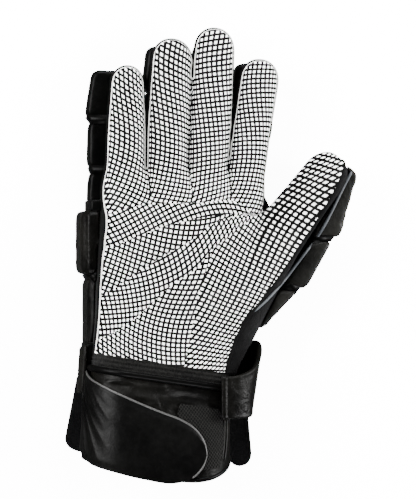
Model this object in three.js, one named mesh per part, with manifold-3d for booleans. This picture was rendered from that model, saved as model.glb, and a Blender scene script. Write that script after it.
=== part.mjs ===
// Padded glove for historical fencing, right hand, lying on its padded back with the palm up.
// Millimetres. +Z is up, out of the palm, +Y runs to the fingertips and +X to the thumb.
import * as THREE from 'three';
import { mergeVertices } from 'three/addons/utils/BufferGeometryUtils.js';
import Module from 'manifold-3d';

const wasm = await Module();
wasm.setup();

// Driving dimensions
const PAD = 11; // foam pads on the back
const GAP = 0.3; // clearance between neighbouring pieces
const CLOTH = 2; // wall of the palm cloth and of the black stalls
const CUFF_WALL = 3; // wall of the quilted cuff and of its ribbed band
const STRAP = 2.4; // leather straps and the closing flap
const SHELL_Z = PAD + GAP; // underside of the hand, on top of the pads
const SEAM = { finger: 22.5, palm: 35, thumb: 19 }; // height where palm cloth meets the back

// Main colours
const GRIP_WHITE = 0xe9e9e6;
const KNIT_BLACK = 0x0b0b0c;
const LEATHER_BLACK = 0x121212;
const RIB_BLACK = 0x0e0f0e;

// Stations along each finger, from inside the palm to the fingertip.
const FINGERS = {
  little: [
    { x: -51.8, y: 28, width: 23.5, height: 20 },
    { x: -51.2, y: 60, width: 23, height: 19 },
    { x: -50.4, y: 90, width: 21, height: 18 },
    { x: -50.2, y: 113, width: 19.5, height: 16 },
  ],
  ring: [
    { x: -26.2, y: 30, width: 24, height: 21.5 },
    { x: -25.5, y: 62, width: 24.4, height: 20.5 },
    { x: -24.2, y: 95, width: 24.6, height: 19.5 },
    { x: -21.8, y: 129.5, width: 22.5, height: 17 },
  ],
  middle: [
    { x: -2.2, y: 30, width: 23.5, height: 22 },
    { x: -0.1, y: 63, width: 23.8, height: 21 },
    { x: 1.9, y: 95, width: 24.4, height: 20 },
    { x: 4, y: 137, width: 22.5, height: 17 },
  ],
  index: [
    { x: 20.5, y: 28, width: 22.5, height: 21.5 },
    { x: 24, y: 57, width: 22.2, height: 20.5 },
    { x: 28, y: 85, width: 22.4, height: 19.5 },
    { x: 33.4, y: 118.6, width: 23, height: 17 },
  ],
};

// Stations along the thumb. roll turns its padded side down and away from the palm, in degrees.
const THUMB = [
  { x: 6, y: -46, z: 30.5, width: 37, height: 33, roll: 40 },
  { x: 24, y: -13, z: 30, width: 37, height: 32, roll: 52 },
  { x: 47.5, y: 19, z: 29, width: 31, height: 27, roll: 60 },
  { x: 69, y: 46, z: 28.5, width: 28, height: 23.5, roll: 62 },
  { x: 80, y: 60, z: 28.5, width: 27, height: 22, roll: 62 },
];

// Sections of the hand and cuff, from the knuckles to the rim of the cuff.
const HAND = [
  { y: 50, left: -63.5, right: 34, top: 31, corner: 9 },
  { y: 35, left: -66.5, right: 33, top: 37, corner: 12 },
  { y: 20, left: -68, right: 31, top: 40, corner: 13 },
  { y: 0, left: -69, right: 28, top: 43, corner: 14 },
  { y: -20, left: -70, right: 28, top: 45, corner: 15 },
  { y: -40, left: -71, right: 27, top: 47, corner: 17 },
  { y: -55, left: -72.5, right: 22, top: 49, corner: 19 },
  { y: -68, left: -74, right: 15, top: 51, corner: 20 },
  { y: -80, left: -75.5, right: 11.5, top: 53, corner: 21 },
  { y: -100, left: -77.4, right: 9.8, top: 56, corner: 22 },
  { y: -120, left: -79.6, right: 9.5, top: 58, corner: 23 },
  { y: -160, left: -82, right: 9.5, top: 60, corner: 24 },
];
// The wrist seam slants across the hand, and so do the band and the rim below it.
const WRIST = { x: -70, y: -58, slope: -0.155, span: 85 };
const BAND = { length: 9.5, ribs: 2, depth: 0.9 };
const RIM = [
  [-100, -110],
  [-86, -115.5],
  [-78, -119.5],
  [-60, -125],
  [-30, -130.5],
  [-14, -131.6],
  [-2, -129.4],
  [5, -126],
  [10, -120],
  [16, -110],
]; // end of the cuff, seen from the palm
const CUFF_END = -150;

// Creases of the palm cloth, which meet at the web of the thumb, and the crease of the thumb's ball.
const CREASES = [
  { depth: 1.3, points: [[-67, 24], [-36, 31], [-7, 33], [22, 26]] },
  { depth: 2.2, points: [[-70, 4], [-45, 14], [-19, 20], [25, 25]] },
  { depth: 2.2, points: [[-69, -24], [-40, -4], [-11, 11], [10, 22]] },
  { depth: 2, points: [[-67, -48], [-27, -18], [-2, 5], [24, 24]] },
  { depth: 1.6, points: [[-2, 2], [-10, -20], [-18, -48], [-21, -66]] },
];
const CREASE_REACH = 6.5;

// Right edge of the palm cloth, along the thumb and down to the wrist.
const THUMB_SEAM = [
  [-4, -90],
  [3, -69],
  [14, -41.7],
  [35, -16.5],
  [52, 6.3],
  [69.5, 31],
  [81, 54.3],
  [90, 78],
];

// Pads under the fingers: near and far end, side edges at each end.
const FINGER_PADS = {
  little: [
    { near: 82.4, far: 112.3, left: -73.6, right: -39, leftFar: -69, rightFar: -40 },
    { near: 52, far: 81.6, left: -72, right: -39, leftFar: -71.4, rightFar: -39 },
  ],
  ring: [
    { near: 101.2, far: 127.4, left: -38.2, right: -11.6, leftFar: -35.2, rightFar: -11.5 },
    { near: 76.5, far: 100.4, left: -37.6, right: -12.4, leftFar: -36.6, rightFar: -12 },
    { near: 52, far: 75.7, left: -38, right: -13, leftFar: -37.6, rightFar: -12.6 },
  ],
  middle: [
    { near: 107, far: 129.5, left: -8.8, right: 14.4, leftFar: -6, rightFar: 14.6 },
    { near: 79.8, far: 106.2, left: -10.8, right: 13.8, leftFar: -9.8, rightFar: 14.2 },
    { near: 52, far: 79, left: -11.8, right: 11.8, leftFar: -11, rightFar: 13 },
  ],
  index: [
    { near: 91.5, far: 118.6, left: 17.4, right: 43.6, leftFar: 20.4, rightFar: 43 },
    { near: 69.4, far: 90.7, left: 15.6, right: 43.4, leftFar: 16.6, rightFar: 45 },
    { near: 52, far: 68.6, left: 13.2, right: 36, leftFar: 14.6, rightFar: 39.5 },
  ],
};
const KNUCKLE_PADS = {
  little: { near: 29, far: 51.2, left: -72.5, right: -39.5, leftFar: -71, rightFar: -39.5 },
  ring: { near: 29, far: 51.2, left: -38.7, right: -13.6, leftFar: -38.5, rightFar: -13.4 },
  middle: { near: 29, far: 51.2, left: -12.8, right: 11.4, leftFar: -12.4, rightFar: 11.8 },
  index: { near: 26.2, far: 51.2, left: 12.2, right: 45, leftFar: 12.8, rightFar: 31.5 },
};
const BACK_PADS = [
  { near: -11.9, far: 25.4, left: -70, right: 29, leftFar: -70.5, rightFar: 33 },
  { near: -56, far: -12.6, left: -70, right: 20, leftFar: -70, rightFar: 26 },
];
const CUFF_PAD = { near: -123, far: -97.5, left: -64, right: -4, leftFar: -64, rightFar: -4 };
const SIDE_PADS = [
  { near: -11.9, far: 27.4, out: -78.9, top: 30 },
  { near: -56.6, far: -12.6, out: -74.6, top: 28 },
];
const SIDE_PAD_INNER = -62; // cut back to the side of the hand

// Pads along the back of the thumb: plan of the upper edge, and the heights between which they lie.
const THUMB_PADS = [
  { base: 8, top: 33, corners: [[60, 10.6], [81.8, 9.6], [94.2, 50.5], [78, 60.5]] },
  { base: 10, top: 34, corners: [[44, -19.5], [59.6, -21.6], [77.5, 9], [62, 9.8]] },
  { base: 11.6, top: 35, corners: [[18, -40], [31, -46.2], [55.5, -21.4], [40, -20.4]] },
];
const THUMB_LEAN = { x: 0.42, y: -0.14 }; // outward shift of the thumb's pads for each unit of height

// Outline of the closing flap, seen from the palm, from its sewn left edge round the free end.
const FLAP = [
  [-95, -66],
  [-78, -71],
  [-64, -79],
  [-48, -86.5],
  [-36, -91.5],
  [-25, -96],
  [-17.5, -101],
  [-12.5, -108],
  [-11, -116],
  [-13.5, -123.5],
  [-20, -129.5],
  [-29, -132],
  [-48, -129.4],
  [-66, -124.6],
  [-80, -119.6],
  [-95, -112],
];

// The wrist strap: centre line from its end on the front, round the thumb's side and across the back.
const WRIST_STRAP = [
  { x: -1, y: -83.5, z: 57, width: 25, lean: 0 },
  { x: 10, y: -83, z: 56.6, width: 26, lean: 0 },
  { x: 18, y: -81, z: 52.5, width: 29, lean: 0.08 },
  { x: 23, y: -76.5, z: 43, width: 34, lean: 0.17 },
  { x: 24.8, y: -72, z: 31, width: 40, lean: 0.2 },
  { x: 22.4, y: -70, z: 20, width: 36, lean: 0.14 },
  { x: 15, y: -70, z: 12, width: 28, lean: 0.04 },
  { x: 0, y: -70, z: 9.2, width: 24, lean: 0 },
  { x: -30, y: -70, z: 9, width: 23, lean: 0 },
  { x: -60, y: -70, z: 9, width: 23, lean: 0 },
  { x: -71.5, y: -70, z: 10.2, width: 23, lean: 0 },
  { x: -77.4, y: -69, z: 15.5, width: 25, lean: 0.05 },
  { x: -78.6, y: -67.6, z: 23, width: 28, lean: 0.07 },
  { x: -77.6, y: -67.2, z: 31, width: 28, lean: 0.07 },
];
const LEFT_TAIL = { x: -73, y: -96.5, z: 6.4, width: 19, length: 44, lean: -11, tip: 8, turn: 0 };
const RIGHT_TAIL = { x: 20.2, y: -106, z: 13, width: 17, length: 46, lean: 5, tip: 9, turn: -46 };

// Steps of a rounded outline: on each corner and on its top, bottom and each side.
const STEPS = {
  finger: { corner: 2, top: 2, bottom: 1, side: 1 },
  thumb: { corner: 3, top: 2, bottom: 1, side: 1 },
  hand: { corner: 3, top: 12, bottom: 2, side: 2 },
  cuff: { corner: 4, top: 4, bottom: 2, side: 1 },
  strap: { corner: 1, top: 2, bottom: 1, side: 1 },
};

// Points of a rounded rectangle, from the middle of its top towards +x. An outline that is inset
// by a distance, with its corners' radius less by as much, keeps its points beside the first one's.
function roundedOutline(width, height, radius, steps) {
  const w = width / 2;
  const h = height / 2;
  const r = Math.min(radius, w * 0.98, h * 0.98);
  const points = [];
  const line = (x0, y0, x1, y1, count) => {
    for (let i = 0; i < count; i += 1) {
      points.push(new THREE.Vector2(x0, y0).lerp(new THREE.Vector2(x1, y1), i / count));
    }
  };
  const turn = (x, y, from) => {
    for (let i = 0; i < steps.corner; i += 1) {
      const angle = (Math.PI / 2) * (from - i / steps.corner);
      points.push(new THREE.Vector2(x + r * Math.cos(angle), y + r * Math.sin(angle)));
    }
  };
  line(0, h, w - r, h, steps.top / 2);
  turn(w - r, h - r, 1);
  line(w, h - r, w, r - h, steps.side);
  turn(w - r, r - h, 0);
  line(w - r, -h, r - w, -h, steps.bottom);
  turn(r - w, r - h, -1);
  line(-w, r - h, -w, h - r, steps.side);
  turn(r - w, h - r, -2);
  line(r - w, h, 0, h, steps.top / 2);
  return points;
}

// A closed solid from a geometry whose shared vertices are merged.
function solidOf(geometry) {
  const bare = geometry.clone();
  bare.deleteAttribute('normal');
  bare.deleteAttribute('uv');
  const merged = mergeVertices(bare, 1e-4);
  return new wasm.Manifold(
    new wasm.Mesh({
      numProp: 3,
      vertProperties: new Float32Array(merged.attributes.position.array),
      triVerts: new Uint32Array(merged.index.array),
    }),
  );
}

// The largest body of a solid, so that a cut leaves no crumbs.
function largest(solid) {
  const bodies = solid.decompose();
  return bodies.reduce((a, b) => (a.volume() > b.volume() ? a : b));
}

function geometryOf(solid) {
  const mesh = solid.getMesh();
  const geometry = new THREE.BufferGeometry();
  geometry.setAttribute('position', new THREE.BufferAttribute(mesh.vertProperties, 3));
  geometry.setIndex(new THREE.BufferAttribute(mesh.triVerts, 1));
  geometry.computeVertexNormals();
  return geometry;
}

// A tube through rings of equal point count, with flat ends.
function sweep(rings) {
  const sides = rings[0].length;
  const rows = rings.length - 1;
  const geometry = new THREE.CylinderGeometry(1, 1, 1, sides, rows);
  const place = geometry.attributes.position;
  const centres = rings.map((ring) =>
    ring.reduce((sum, p) => sum.add(p), new THREE.Vector3()).divideScalar(sides),
  );
  for (let k = 0; k < place.count; k += 1) {
    const x = place.getX(k);
    const z = place.getZ(k);
    const row = Math.round((place.getY(k) + 0.5) * rows);
    const side = Math.round((Math.atan2(x, z) / (2 * Math.PI)) * sides + sides) % sides;
    const p = Math.hypot(x, z) < 0.5 ? centres[row] : rings[row][side];
    place.setXYZ(k, p.x, p.y, p.z);
  }
  return solidOf(geometry);
}

// Axis and sizes of a digit as curves with one parameter.
function digitCurves(stations) {
  const axis = stations.map((s) => new THREE.Vector3(s.x, s.y, s.z ?? SHELL_Z + s.height / 2));
  const size = stations.map((s) => new THREE.Vector3(s.width, s.height, s.roll ?? 0));
  return {
    axis: new THREE.CatmullRomCurve3(axis),
    size: new THREE.CatmullRomCurve3(size),
  };
}

// Place, directions and size of a digit at a distance from its base.
function digitFrame({ axis, size }, distance) {
  const t = axis.getUtoTmapping(0, distance);
  const [width, height, roll] = size.getPoint(t).toArray();
  const along = axis.getTangent(t);
  const across = new THREE.Vector3().crossVectors(along, new THREE.Vector3(0, 0, 1)).normalize();
  across.applyAxisAngle(along, -THREE.MathUtils.degToRad(roll));
  const front = new THREE.Vector3().crossVectors(across, along).normalize();
  return { centre: axis.getPoint(t), along, across, front, width, height };
}

// A digit as a rounded tube. inset shrinks it, and a negative inset grows it.
function digit(stations, inset, steps, rows) {
  const curves = digitCurves(stations);
  const full = curves.axis.getLength();
  const tipRound = stations[stations.length - 1].width / 2;
  const sections = [];
  for (let i = 0; i <= rows; i += 1) {
    sections.push({ at: ((full - tipRound) * i) / rows, across: 1, front: 1 });
  }
  for (const angle of [32, 60, 80]) {
    const a = THREE.MathUtils.degToRad(angle);
    const at = full - tipRound + (tipRound - inset) * Math.sin(a);
    sections.push({ at, across: Math.cos(a) ** 0.9, front: Math.cos(a) ** 0.5 });
  }
  const rings = sections.map(({ at, across, front }) => {
    const f = digitFrame(curves, Math.min(at, full));
    const centre = f.centre.addScaledVector(f.along, Math.max(0, at - full));
    const radius = 0.44 * Math.min(f.width * across, f.height * front) - inset * across;
    const outline = roundedOutline(
      (f.width - 2 * inset) * across,
      (f.height - 2 * inset) * front,
      radius,
      steps,
    );
    return outline.map((p) =>
      centre.clone().addScaledVector(f.across, p.x).addScaledVector(f.front, p.y),
    );
  });
  return sweep(rings);
}

const creases = CREASES.map(({ depth, points }) => {
  const curve = new THREE.SplineCurve(points.map(([x, y]) => new THREE.Vector2(x, y)));
  return { depth, along: curve.getPoints(24) };
});

// Depth of the palm's creases below the plain cloth.
function creaseDepth(x, y) {
  const here = new THREE.Vector2(x, y);
  let deepest = 0;
  for (const { depth, along } of creases) {
    const away = Math.min(...along.map((p) => p.distanceTo(here))) / CREASE_REACH;
    if (away < 1) deepest = Math.max(deepest, depth * (1 - away * away) ** 2);
  }
  return deepest;
}

const handEdges = new THREE.CatmullRomCurve3(
  HAND.map((s) => new THREE.Vector3(s.left, s.right, s.top)),
);
const handPlaces = new THREE.CatmullRomCurve3(HAND.map((s) => new THREE.Vector3(s.y, s.corner, 0)));

// Left and right edge, top and corner radius of the hand's section.
function sectionAt(y) {
  const t = parameterAt(handPlaces, y);
  const [left, right, top] = handEdges.getPoint(t).toArray();
  return { left, right, top, corner: handPlaces.getPoint(t).y };
}

// The hand or the cuff between two places, as one solid. slope slants its sections across the hand,
// inset is a distance or a function of the row, and a plain one has no creases.
function hand(inset, from, to, { steps = STEPS.hand, rows = 15, slope = 0, plain = false } = {}) {
  const rings = [];
  for (let i = 0; i <= rows; i += 1) {
    const y = from + ((to - from) * i) / rows;
    const shrink = typeof inset === 'function' ? inset(i) : inset;
    const left = sectionAt(y).left + shrink;
    const right = sectionAt(y + slope * WRIST.span).right - shrink;
    const { top, corner } = sectionAt(y + (slope * WRIST.span) / 2);
    const height = top - SHELL_Z - 2 * shrink;
    const z = (top + SHELL_Z) / 2;
    rings.push(
      roundedOutline(right - left, height, corner - shrink, steps).map((p) => {
        const x = (left + right) / 2 + p.x;
        const upper = THREE.MathUtils.smoothstep(p.y, 0.1 * height, 0.45 * height);
        const dent = slope === 0 && !plain ? upper * creaseDepth(x, y) : 0;
        return new THREE.Vector3(x, y + slope * (x - WRIST.x), z + p.y - dent);
      }),
    );
  }
  return sweep(rings);
}

// Parameter at which a curve whose x falls steadily passes a value, by halving.
function parameterAt(curve, value) {
  let low = 0;
  let high = 1;
  for (let i = 0; i < 30; i += 1) {
    const mid = (low + high) / 2;
    if (curve.getPoint(mid).x > value) low = mid;
    else high = mid;
  }
  return (low + high) / 2;
}

// Height of the seam between palm cloth and back, over the plan of the hand.
function seamHeight(x, y) {
  const fingers = THREE.MathUtils.smoothstep(y, 15, 50);
  const beyondWeb = (x - 31) * 0.9 - (y - 26) * 0.45;
  const thumb = THREE.MathUtils.smoothstep(beyondWeb, -6, 8);
  const level = THREE.MathUtils.lerp(SEAM.palm, SEAM.finger, fingers);
  return THREE.MathUtils.lerp(level, SEAM.thumb, thumb);
}

// Everything on the palm's side of the seam. gap widens it for the pieces of the back.
function palmSide(gap) {
  const [width, depth, top] = [230, 300, 100];
  const slab = new THREE.BoxGeometry(width, depth, top, 10, 12, 1);
  const place = slab.attributes.position;
  for (let k = 0; k < place.count; k += 1) {
    const [x, y] = [place.getX(k), place.getY(k)];
    const z = place.getZ(k) > 0 ? top : seamHeight(x, y) - gap;
    place.setXYZ(k, x, y, z);
  }
  const edge = new THREE.SplineCurve(THUMB_SEAM.map(([x, y]) => new THREE.Vector2(x, y)));
  const shape = new THREE.Shape(edge.getPoints(20));
  shape.lineTo(160, 78);
  shape.lineTo(160, -90);
  const beyond = new THREE.ExtrudeGeometry(shape, { depth: top, bevelEnabled: false });
  beyond.translate(gap, -gap * 0.6, 0);
  return solidOf(slab).subtract(solidOf(beyond));
}

// Everything nearer the cuff than a line parallel to the wrist seam.
function belowWrist(offset) {
  const size = 300;
  const box = new THREE.BoxGeometry(size, size, size);
  box.translate(0, -size / 2, 0);
  box.rotateZ(Math.atan(WRIST.slope));
  box.translate(WRIST.x, WRIST.y + offset, 0);
  return solidOf(box);
}

// A plan outline with rounded corners, from its four corners.
function roundedShape(corners, radius) {
  const shape = new THREE.Shape();
  corners.forEach((corner, i) => {
    const before = corners[(i + corners.length - 1) % corners.length];
    const after = corners[(i + 1) % corners.length];
    const start = corner.clone().add(before.clone().sub(corner).setLength(radius));
    const end = corner.clone().add(after.clone().sub(corner).setLength(radius));
    if (i === 0) shape.moveTo(start.x, start.y);
    else shape.lineTo(start.x, start.y);
    shape.quadraticCurveTo(corner.x, corner.y, end.x, end.y);
  });
  shape.closePath();
  return shape;
}

// A foam pad with rounded edges over a plan outline, standing on z = 0.
function padBlock(corners, thick, radius = 4, edge = 1.8) {
  const geometry = new THREE.ExtrudeGeometry(roundedShape(corners, radius), {
    depth: thick - 2 * edge,
    bevelThickness: edge,
    bevelSize: edge,
    bevelOffset: -edge,
    bevelSegments: 1,
    curveSegments: 2,
  });
  geometry.translate(0, 0, edge);
  return geometry;
}

function padCorners({ near, far, left, right, leftFar, rightFar }) {
  return [
    new THREE.Vector2(left, near),
    new THREE.Vector2(right, near),
    new THREE.Vector2(rightFar, far),
    new THREE.Vector2(leftFar, far),
  ];
}

// A flat strap end with a round tip, from its middle, along -Y.
function strapTail({ x, y, z, width, length, lean, tip, turn }) {
  const [w, l] = [width / 2, length / 2];
  const shape = new THREE.Shape();
  shape.moveTo(-w, l);
  shape.lineTo(-w, tip - l);
  shape.quadraticCurveTo(-w, -l, 0, -l);
  shape.quadraticCurveTo(w, -l, w, tip - l);
  shape.lineTo(w, l);
  const geometry = new THREE.ExtrudeGeometry(shape, {
    depth: STRAP,
    bevelEnabled: false,
    curveSegments: 5,
  });
  geometry.translate(0, 0, -STRAP / 2);
  geometry.rotateZ(THREE.MathUtils.degToRad(lean));
  geometry.rotateY(THREE.MathUtils.degToRad(turn));
  geometry.translate(x, y, z);
  return geometry;
}

// A flat strap that lies across a centre line, its width along Y.
function strap(stations, thick) {
  const centre = new THREE.CatmullRomCurve3(stations.map((s) => new THREE.Vector3(s.x, 0, s.z)));
  const spread = new THREE.CatmullRomCurve3(
    stations.map((s) => new THREE.Vector3(s.y, s.width, s.lean)),
  );
  const rows = 26;
  const rings = [];
  for (let i = 0; i <= rows; i += 1) {
    const t = centre.getUtoTmapping(i / rows);
    const along = centre.getTangent(t);
    const inward = new THREE.Vector3(along.z, 0, -along.x);
    const [y, width, lean] = spread.getPoint(t).toArray();
    const middle = centre.getPoint(t);
    rings.push(
      roundedOutline(width, thick, 0.6, STEPS.strap).map((p) =>
        middle
          .clone()
          .addScaledVector(inward, p.y)
          .add(new THREE.Vector3(lean * p.x, y + p.x, 0)),
      ),
    );
  }
  return sweep(rings);
}

// Solid and hollow forms shared by several pieces
const palmEnd = HAND[0].y;
const handStart = -84;
const fingerNames = Object.keys(FINGERS);
const fingerRows = 4;
const thumbRows = 5;

const fingerOuter = {};
for (const name of fingerNames) {
  fingerOuter[name] = digit(FINGERS[name], 0, STEPS.finger, fingerRows);
}
const thumbOuter = digit(THUMB, 0, STEPS.thumb, thumbRows);
const thumbRoom = digit(THUMB, -GAP, STEPS.thumb, thumbRows);
const handOuter = hand(0, handStart, palmEnd);
const handInner = hand(CLOTH, handStart - 1, palmEnd - CLOTH, { rows: 12 });
const handRoom = hand(-GAP, handStart, palmEnd + GAP, { plain: true });
const cavity = wasm.Manifold.union([
  handInner,
  digit(THUMB, CLOTH, STEPS.thumb, thumbRows),
  ...fingerNames.map((name) => digit(FINGERS[name], CLOTH, STEPS.finger, fingerRows)),
]);
const outside = wasm.Manifold.union([handOuter, thumbOuter, ...Object.values(fingerOuter)]);
const palmRegion = palmSide(0);
const backRegion = palmSide(GAP);
const cuffEnd = belowWrist(0);
const bandFrom = WRIST.y - GAP - BAND.length;

function palmPanel() {
  return largest(outside.subtract(cavity).intersect(palmRegion).subtract(cuffEnd));
}

function handBack() {
  const wall = handOuter.subtract(cavity).subtract(backRegion);
  return largest(wall.subtract(cuffEnd));
}

function stall(outer) {
  const wall = outer.subtract(cavity).subtract(backRegion).subtract(handRoom);
  return largest(wall.subtract(cuffEnd));
}

// A slanting length of the wrist or cuff, as a tube.
function wristTube(from, to, rows, rib = () => 0) {
  const size = { steps: STEPS.cuff, rows, slope: WRIST.slope };
  const inner = hand(CUFF_WALL, from - 1, to + 1, { ...size, rows: Math.min(rows, 3) });
  return hand((row) => rib(row / rows), from, to, size).subtract(inner);
}

// Everything beyond the rim of the cuff.
function beyondRim() {
  const edge = new THREE.SplineCurve(RIM.map(([x, y]) => new THREE.Vector2(x, y)));
  const shape = new THREE.Shape(edge.getPoints(24));
  shape.lineTo(40, CUFF_END - 10);
  shape.lineTo(-120, CUFF_END - 10);
  return solidOf(new THREE.ExtrudeGeometry(shape, { depth: 80, bevelEnabled: false }));
}

function closingFlap() {
  const size = { steps: STEPS.cuff, rows: 8, slope: WRIST.slope };
  const over = hand(-GAP - STRAP, CUFF_END, bandFrom - GAP, size);
  const under = hand(-GAP, CUFF_END, bandFrom - GAP, size);
  const edge = new THREE.SplineCurve(FLAP.map(([x, y]) => new THREE.Vector2(x, y)));
  const shape = new THREE.Shape(edge.getPoints(30));
  const plan = new THREE.ExtrudeGeometry(shape, { depth: 80, bevelEnabled: false });
  plan.translate(0, 0, 34);
  return largest(over.subtract(under).intersect(solidOf(plan)));
}

function sidePad({ near, far, out, top }) {
  const corners = padCorners({
    near,
    far,
    left: out,
    right: SIDE_PAD_INNER,
    leftFar: out,
    rightFar: SIDE_PAD_INNER,
  });
  const block = solidOf(padBlock(corners, top, 4.5, 2.6));
  const under = new THREE.BoxGeometry(60, 120, 2 * SHELL_Z + 1);
  under.translate(-41, 0, 0);
  return largest(block.subtract(handRoom).subtract(solidOf(under)));
}

function thumbPad({ base, top, corners }) {
  const plan = corners.map(([x, y]) => new THREE.Vector2(x, y));
  const block = padBlock(plan, top - base, 4.5, 2);
  const place = block.attributes.position;
  for (let k = 0; k < place.count; k += 1) {
    const z = base + place.getZ(k);
    const [x, y] = [place.getX(k), place.getY(k)];
    place.setXYZ(k, x + THUMB_LEAN.x * (z - top), y + THUMB_LEAN.y * (z - top), z);
  }
  return largest(solidOf(block).subtract(thumbRoom).subtract(handRoom));
}

// The glove, piece by piece
function material(name, color, roughness) {
  return new THREE.MeshStandardMaterial({ name, color, roughness, metalness: 0 });
}

const grip = material('grip_cloth', GRIP_WHITE, 0.75);
const knit = material('black_cloth', KNIT_BLACK, 0.9);
const leather = material('black_leather', LEATHER_BLACK, 0.45);
const ribbed = material('ribbed_elastic', RIB_BLACK, 0.85);

const glove = new THREE.Group();

function add(name, geometry, surface) {
  const mesh = new THREE.Mesh(geometry, surface);
  mesh.name = name;
  glove.add(mesh);
}

add('palm_panel', geometryOf(palmPanel()), grip);
add('hand_back', geometryOf(handBack()), knit);
for (const name of fingerNames) add(`${name}_stall`, geometryOf(stall(fingerOuter[name])), knit);
add('thumb_stall', geometryOf(stall(thumbOuter)), knit);

for (const name of fingerNames) {
  FINGER_PADS[name].forEach((row, i) => {
    add(`${name}_pad_${i + 1}`, padBlock(padCorners(row), PAD), leather);
  });
  add(`${name}_knuckle_pad`, padBlock(padCorners(KNUCKLE_PADS[name]), PAD), leather);
}
THUMB_PADS.forEach((row, i) => add(`thumb_pad_${i + 1}`, geometryOf(thumbPad(row)), leather));
BACK_PADS.forEach((row, i) => {
  add(`back_pad_${i + 1}`, padBlock(padCorners(row), PAD, 7), leather);
});
SIDE_PADS.forEach((row, i) => add(`side_pad_${i + 1}`, geometryOf(sidePad(row)), leather));
add('cuff_pad', padBlock(padCorners(CUFF_PAD), PAD, 8), leather);

const ribs = (t) => BAND.depth * Math.cos(Math.PI * BAND.ribs * t) ** 2;
const band = wristTube(bandFrom, WRIST.y - GAP, 4 * BAND.ribs, ribs);
add('wrist_band', geometryOf(band), ribbed);
const cuff = wristTube(CUFF_END, bandFrom - GAP, 8).subtract(beyondRim());
add('cuff', geometryOf(largest(cuff)), leather);
add('cuff_flap', geometryOf(closingFlap()), leather);
add('wrist_strap', geometryOf(strap(WRIST_STRAP, STRAP)), leather);
add('strap_tail_left', strapTail(LEFT_TAIL), leather);
add('strap_tail_right', strapTail(RIGHT_TAIL), leather);

// The middle of the base goes to the origin.
const box = new THREE.Box3().setFromObject(glove);
const middle = box.getCenter(new THREE.Vector3());
glove.position.set(-middle.x, -middle.y, -box.min.z);

export default glove;
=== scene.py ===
"""Looks of a padded glove for historical fencing: a right hand's glove, on its back, palm up.

Shapes are drawn in millimetres, +Z out of the palm, +Y to the fingertips and +X to the thumb.
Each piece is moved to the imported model's frame, in metres, when it is finished.
"""

import logging
import math
from dataclasses import dataclass, field
from enum import Enum
from typing import Callable, Iterable, Sequence

import bmesh
import bpy
import numpy as np
from mathutils import Matrix, Vector, noise
from mathutils.bvhtree import BVHTree


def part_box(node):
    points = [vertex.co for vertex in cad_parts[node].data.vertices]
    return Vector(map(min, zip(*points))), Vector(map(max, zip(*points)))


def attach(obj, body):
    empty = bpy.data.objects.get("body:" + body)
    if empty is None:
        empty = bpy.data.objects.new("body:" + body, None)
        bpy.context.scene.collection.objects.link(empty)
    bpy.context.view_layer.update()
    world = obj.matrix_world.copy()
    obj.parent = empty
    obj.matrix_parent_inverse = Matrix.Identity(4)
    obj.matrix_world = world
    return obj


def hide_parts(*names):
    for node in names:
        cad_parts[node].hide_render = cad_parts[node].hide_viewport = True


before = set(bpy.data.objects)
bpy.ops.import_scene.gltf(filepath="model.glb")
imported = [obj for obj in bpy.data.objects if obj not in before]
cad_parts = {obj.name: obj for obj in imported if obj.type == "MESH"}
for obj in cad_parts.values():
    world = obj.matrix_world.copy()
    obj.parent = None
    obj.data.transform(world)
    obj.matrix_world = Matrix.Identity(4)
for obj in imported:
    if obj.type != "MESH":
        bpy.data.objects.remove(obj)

log = logging.getLogger("fencing_glove")

Socket = bpy.types.NodeSocket
Mesh = bmesh.types.BMesh
Pair = tuple[float, float]
Triple = tuple[float, float, float]
Outline = tuple[Pair, ...]
Place = Callable[[float, float], Vector]

MM = 0.001
SHIFT = Vector((-3.4515, -2.5104, 0.0))
DRAWING_TO_ROW = Matrix.Scale(MM, 4) @ Matrix.Translation(SHIFT)
ROW_TO_DRAWING = DRAWING_TO_ROW.inverted()

FINGERS = ("little", "ring", "middle", "index")

# Depth of the pads, the gap above them, the cloth's thickness, and the underside of the cloth hand.
PAD = 11.0
GAP = 0.3
CLOTH = 1.5
SHELL_Z = PAD + GAP

# The seam at the wrist: its left end, its slope across the hand, and the hand's width there.
WRIST_X, WRIST_Y, WRIST_SLOPE, WRIST_SPAN = -70.0, -58.0, -0.155, 85.0


def smoothstep(value: float, low: float, high: float) -> float:
    """Soft step of a value, 0 below low and 1 above high."""
    t = min(max((value - low) / (high - low), 0.0), 1.0)
    return t * t * (3 - 2 * t)


def mix(a: float, b: float, share: float) -> float:
    """Value between a and b."""
    return a + (b - a) * share


# Curves and meshes


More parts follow.
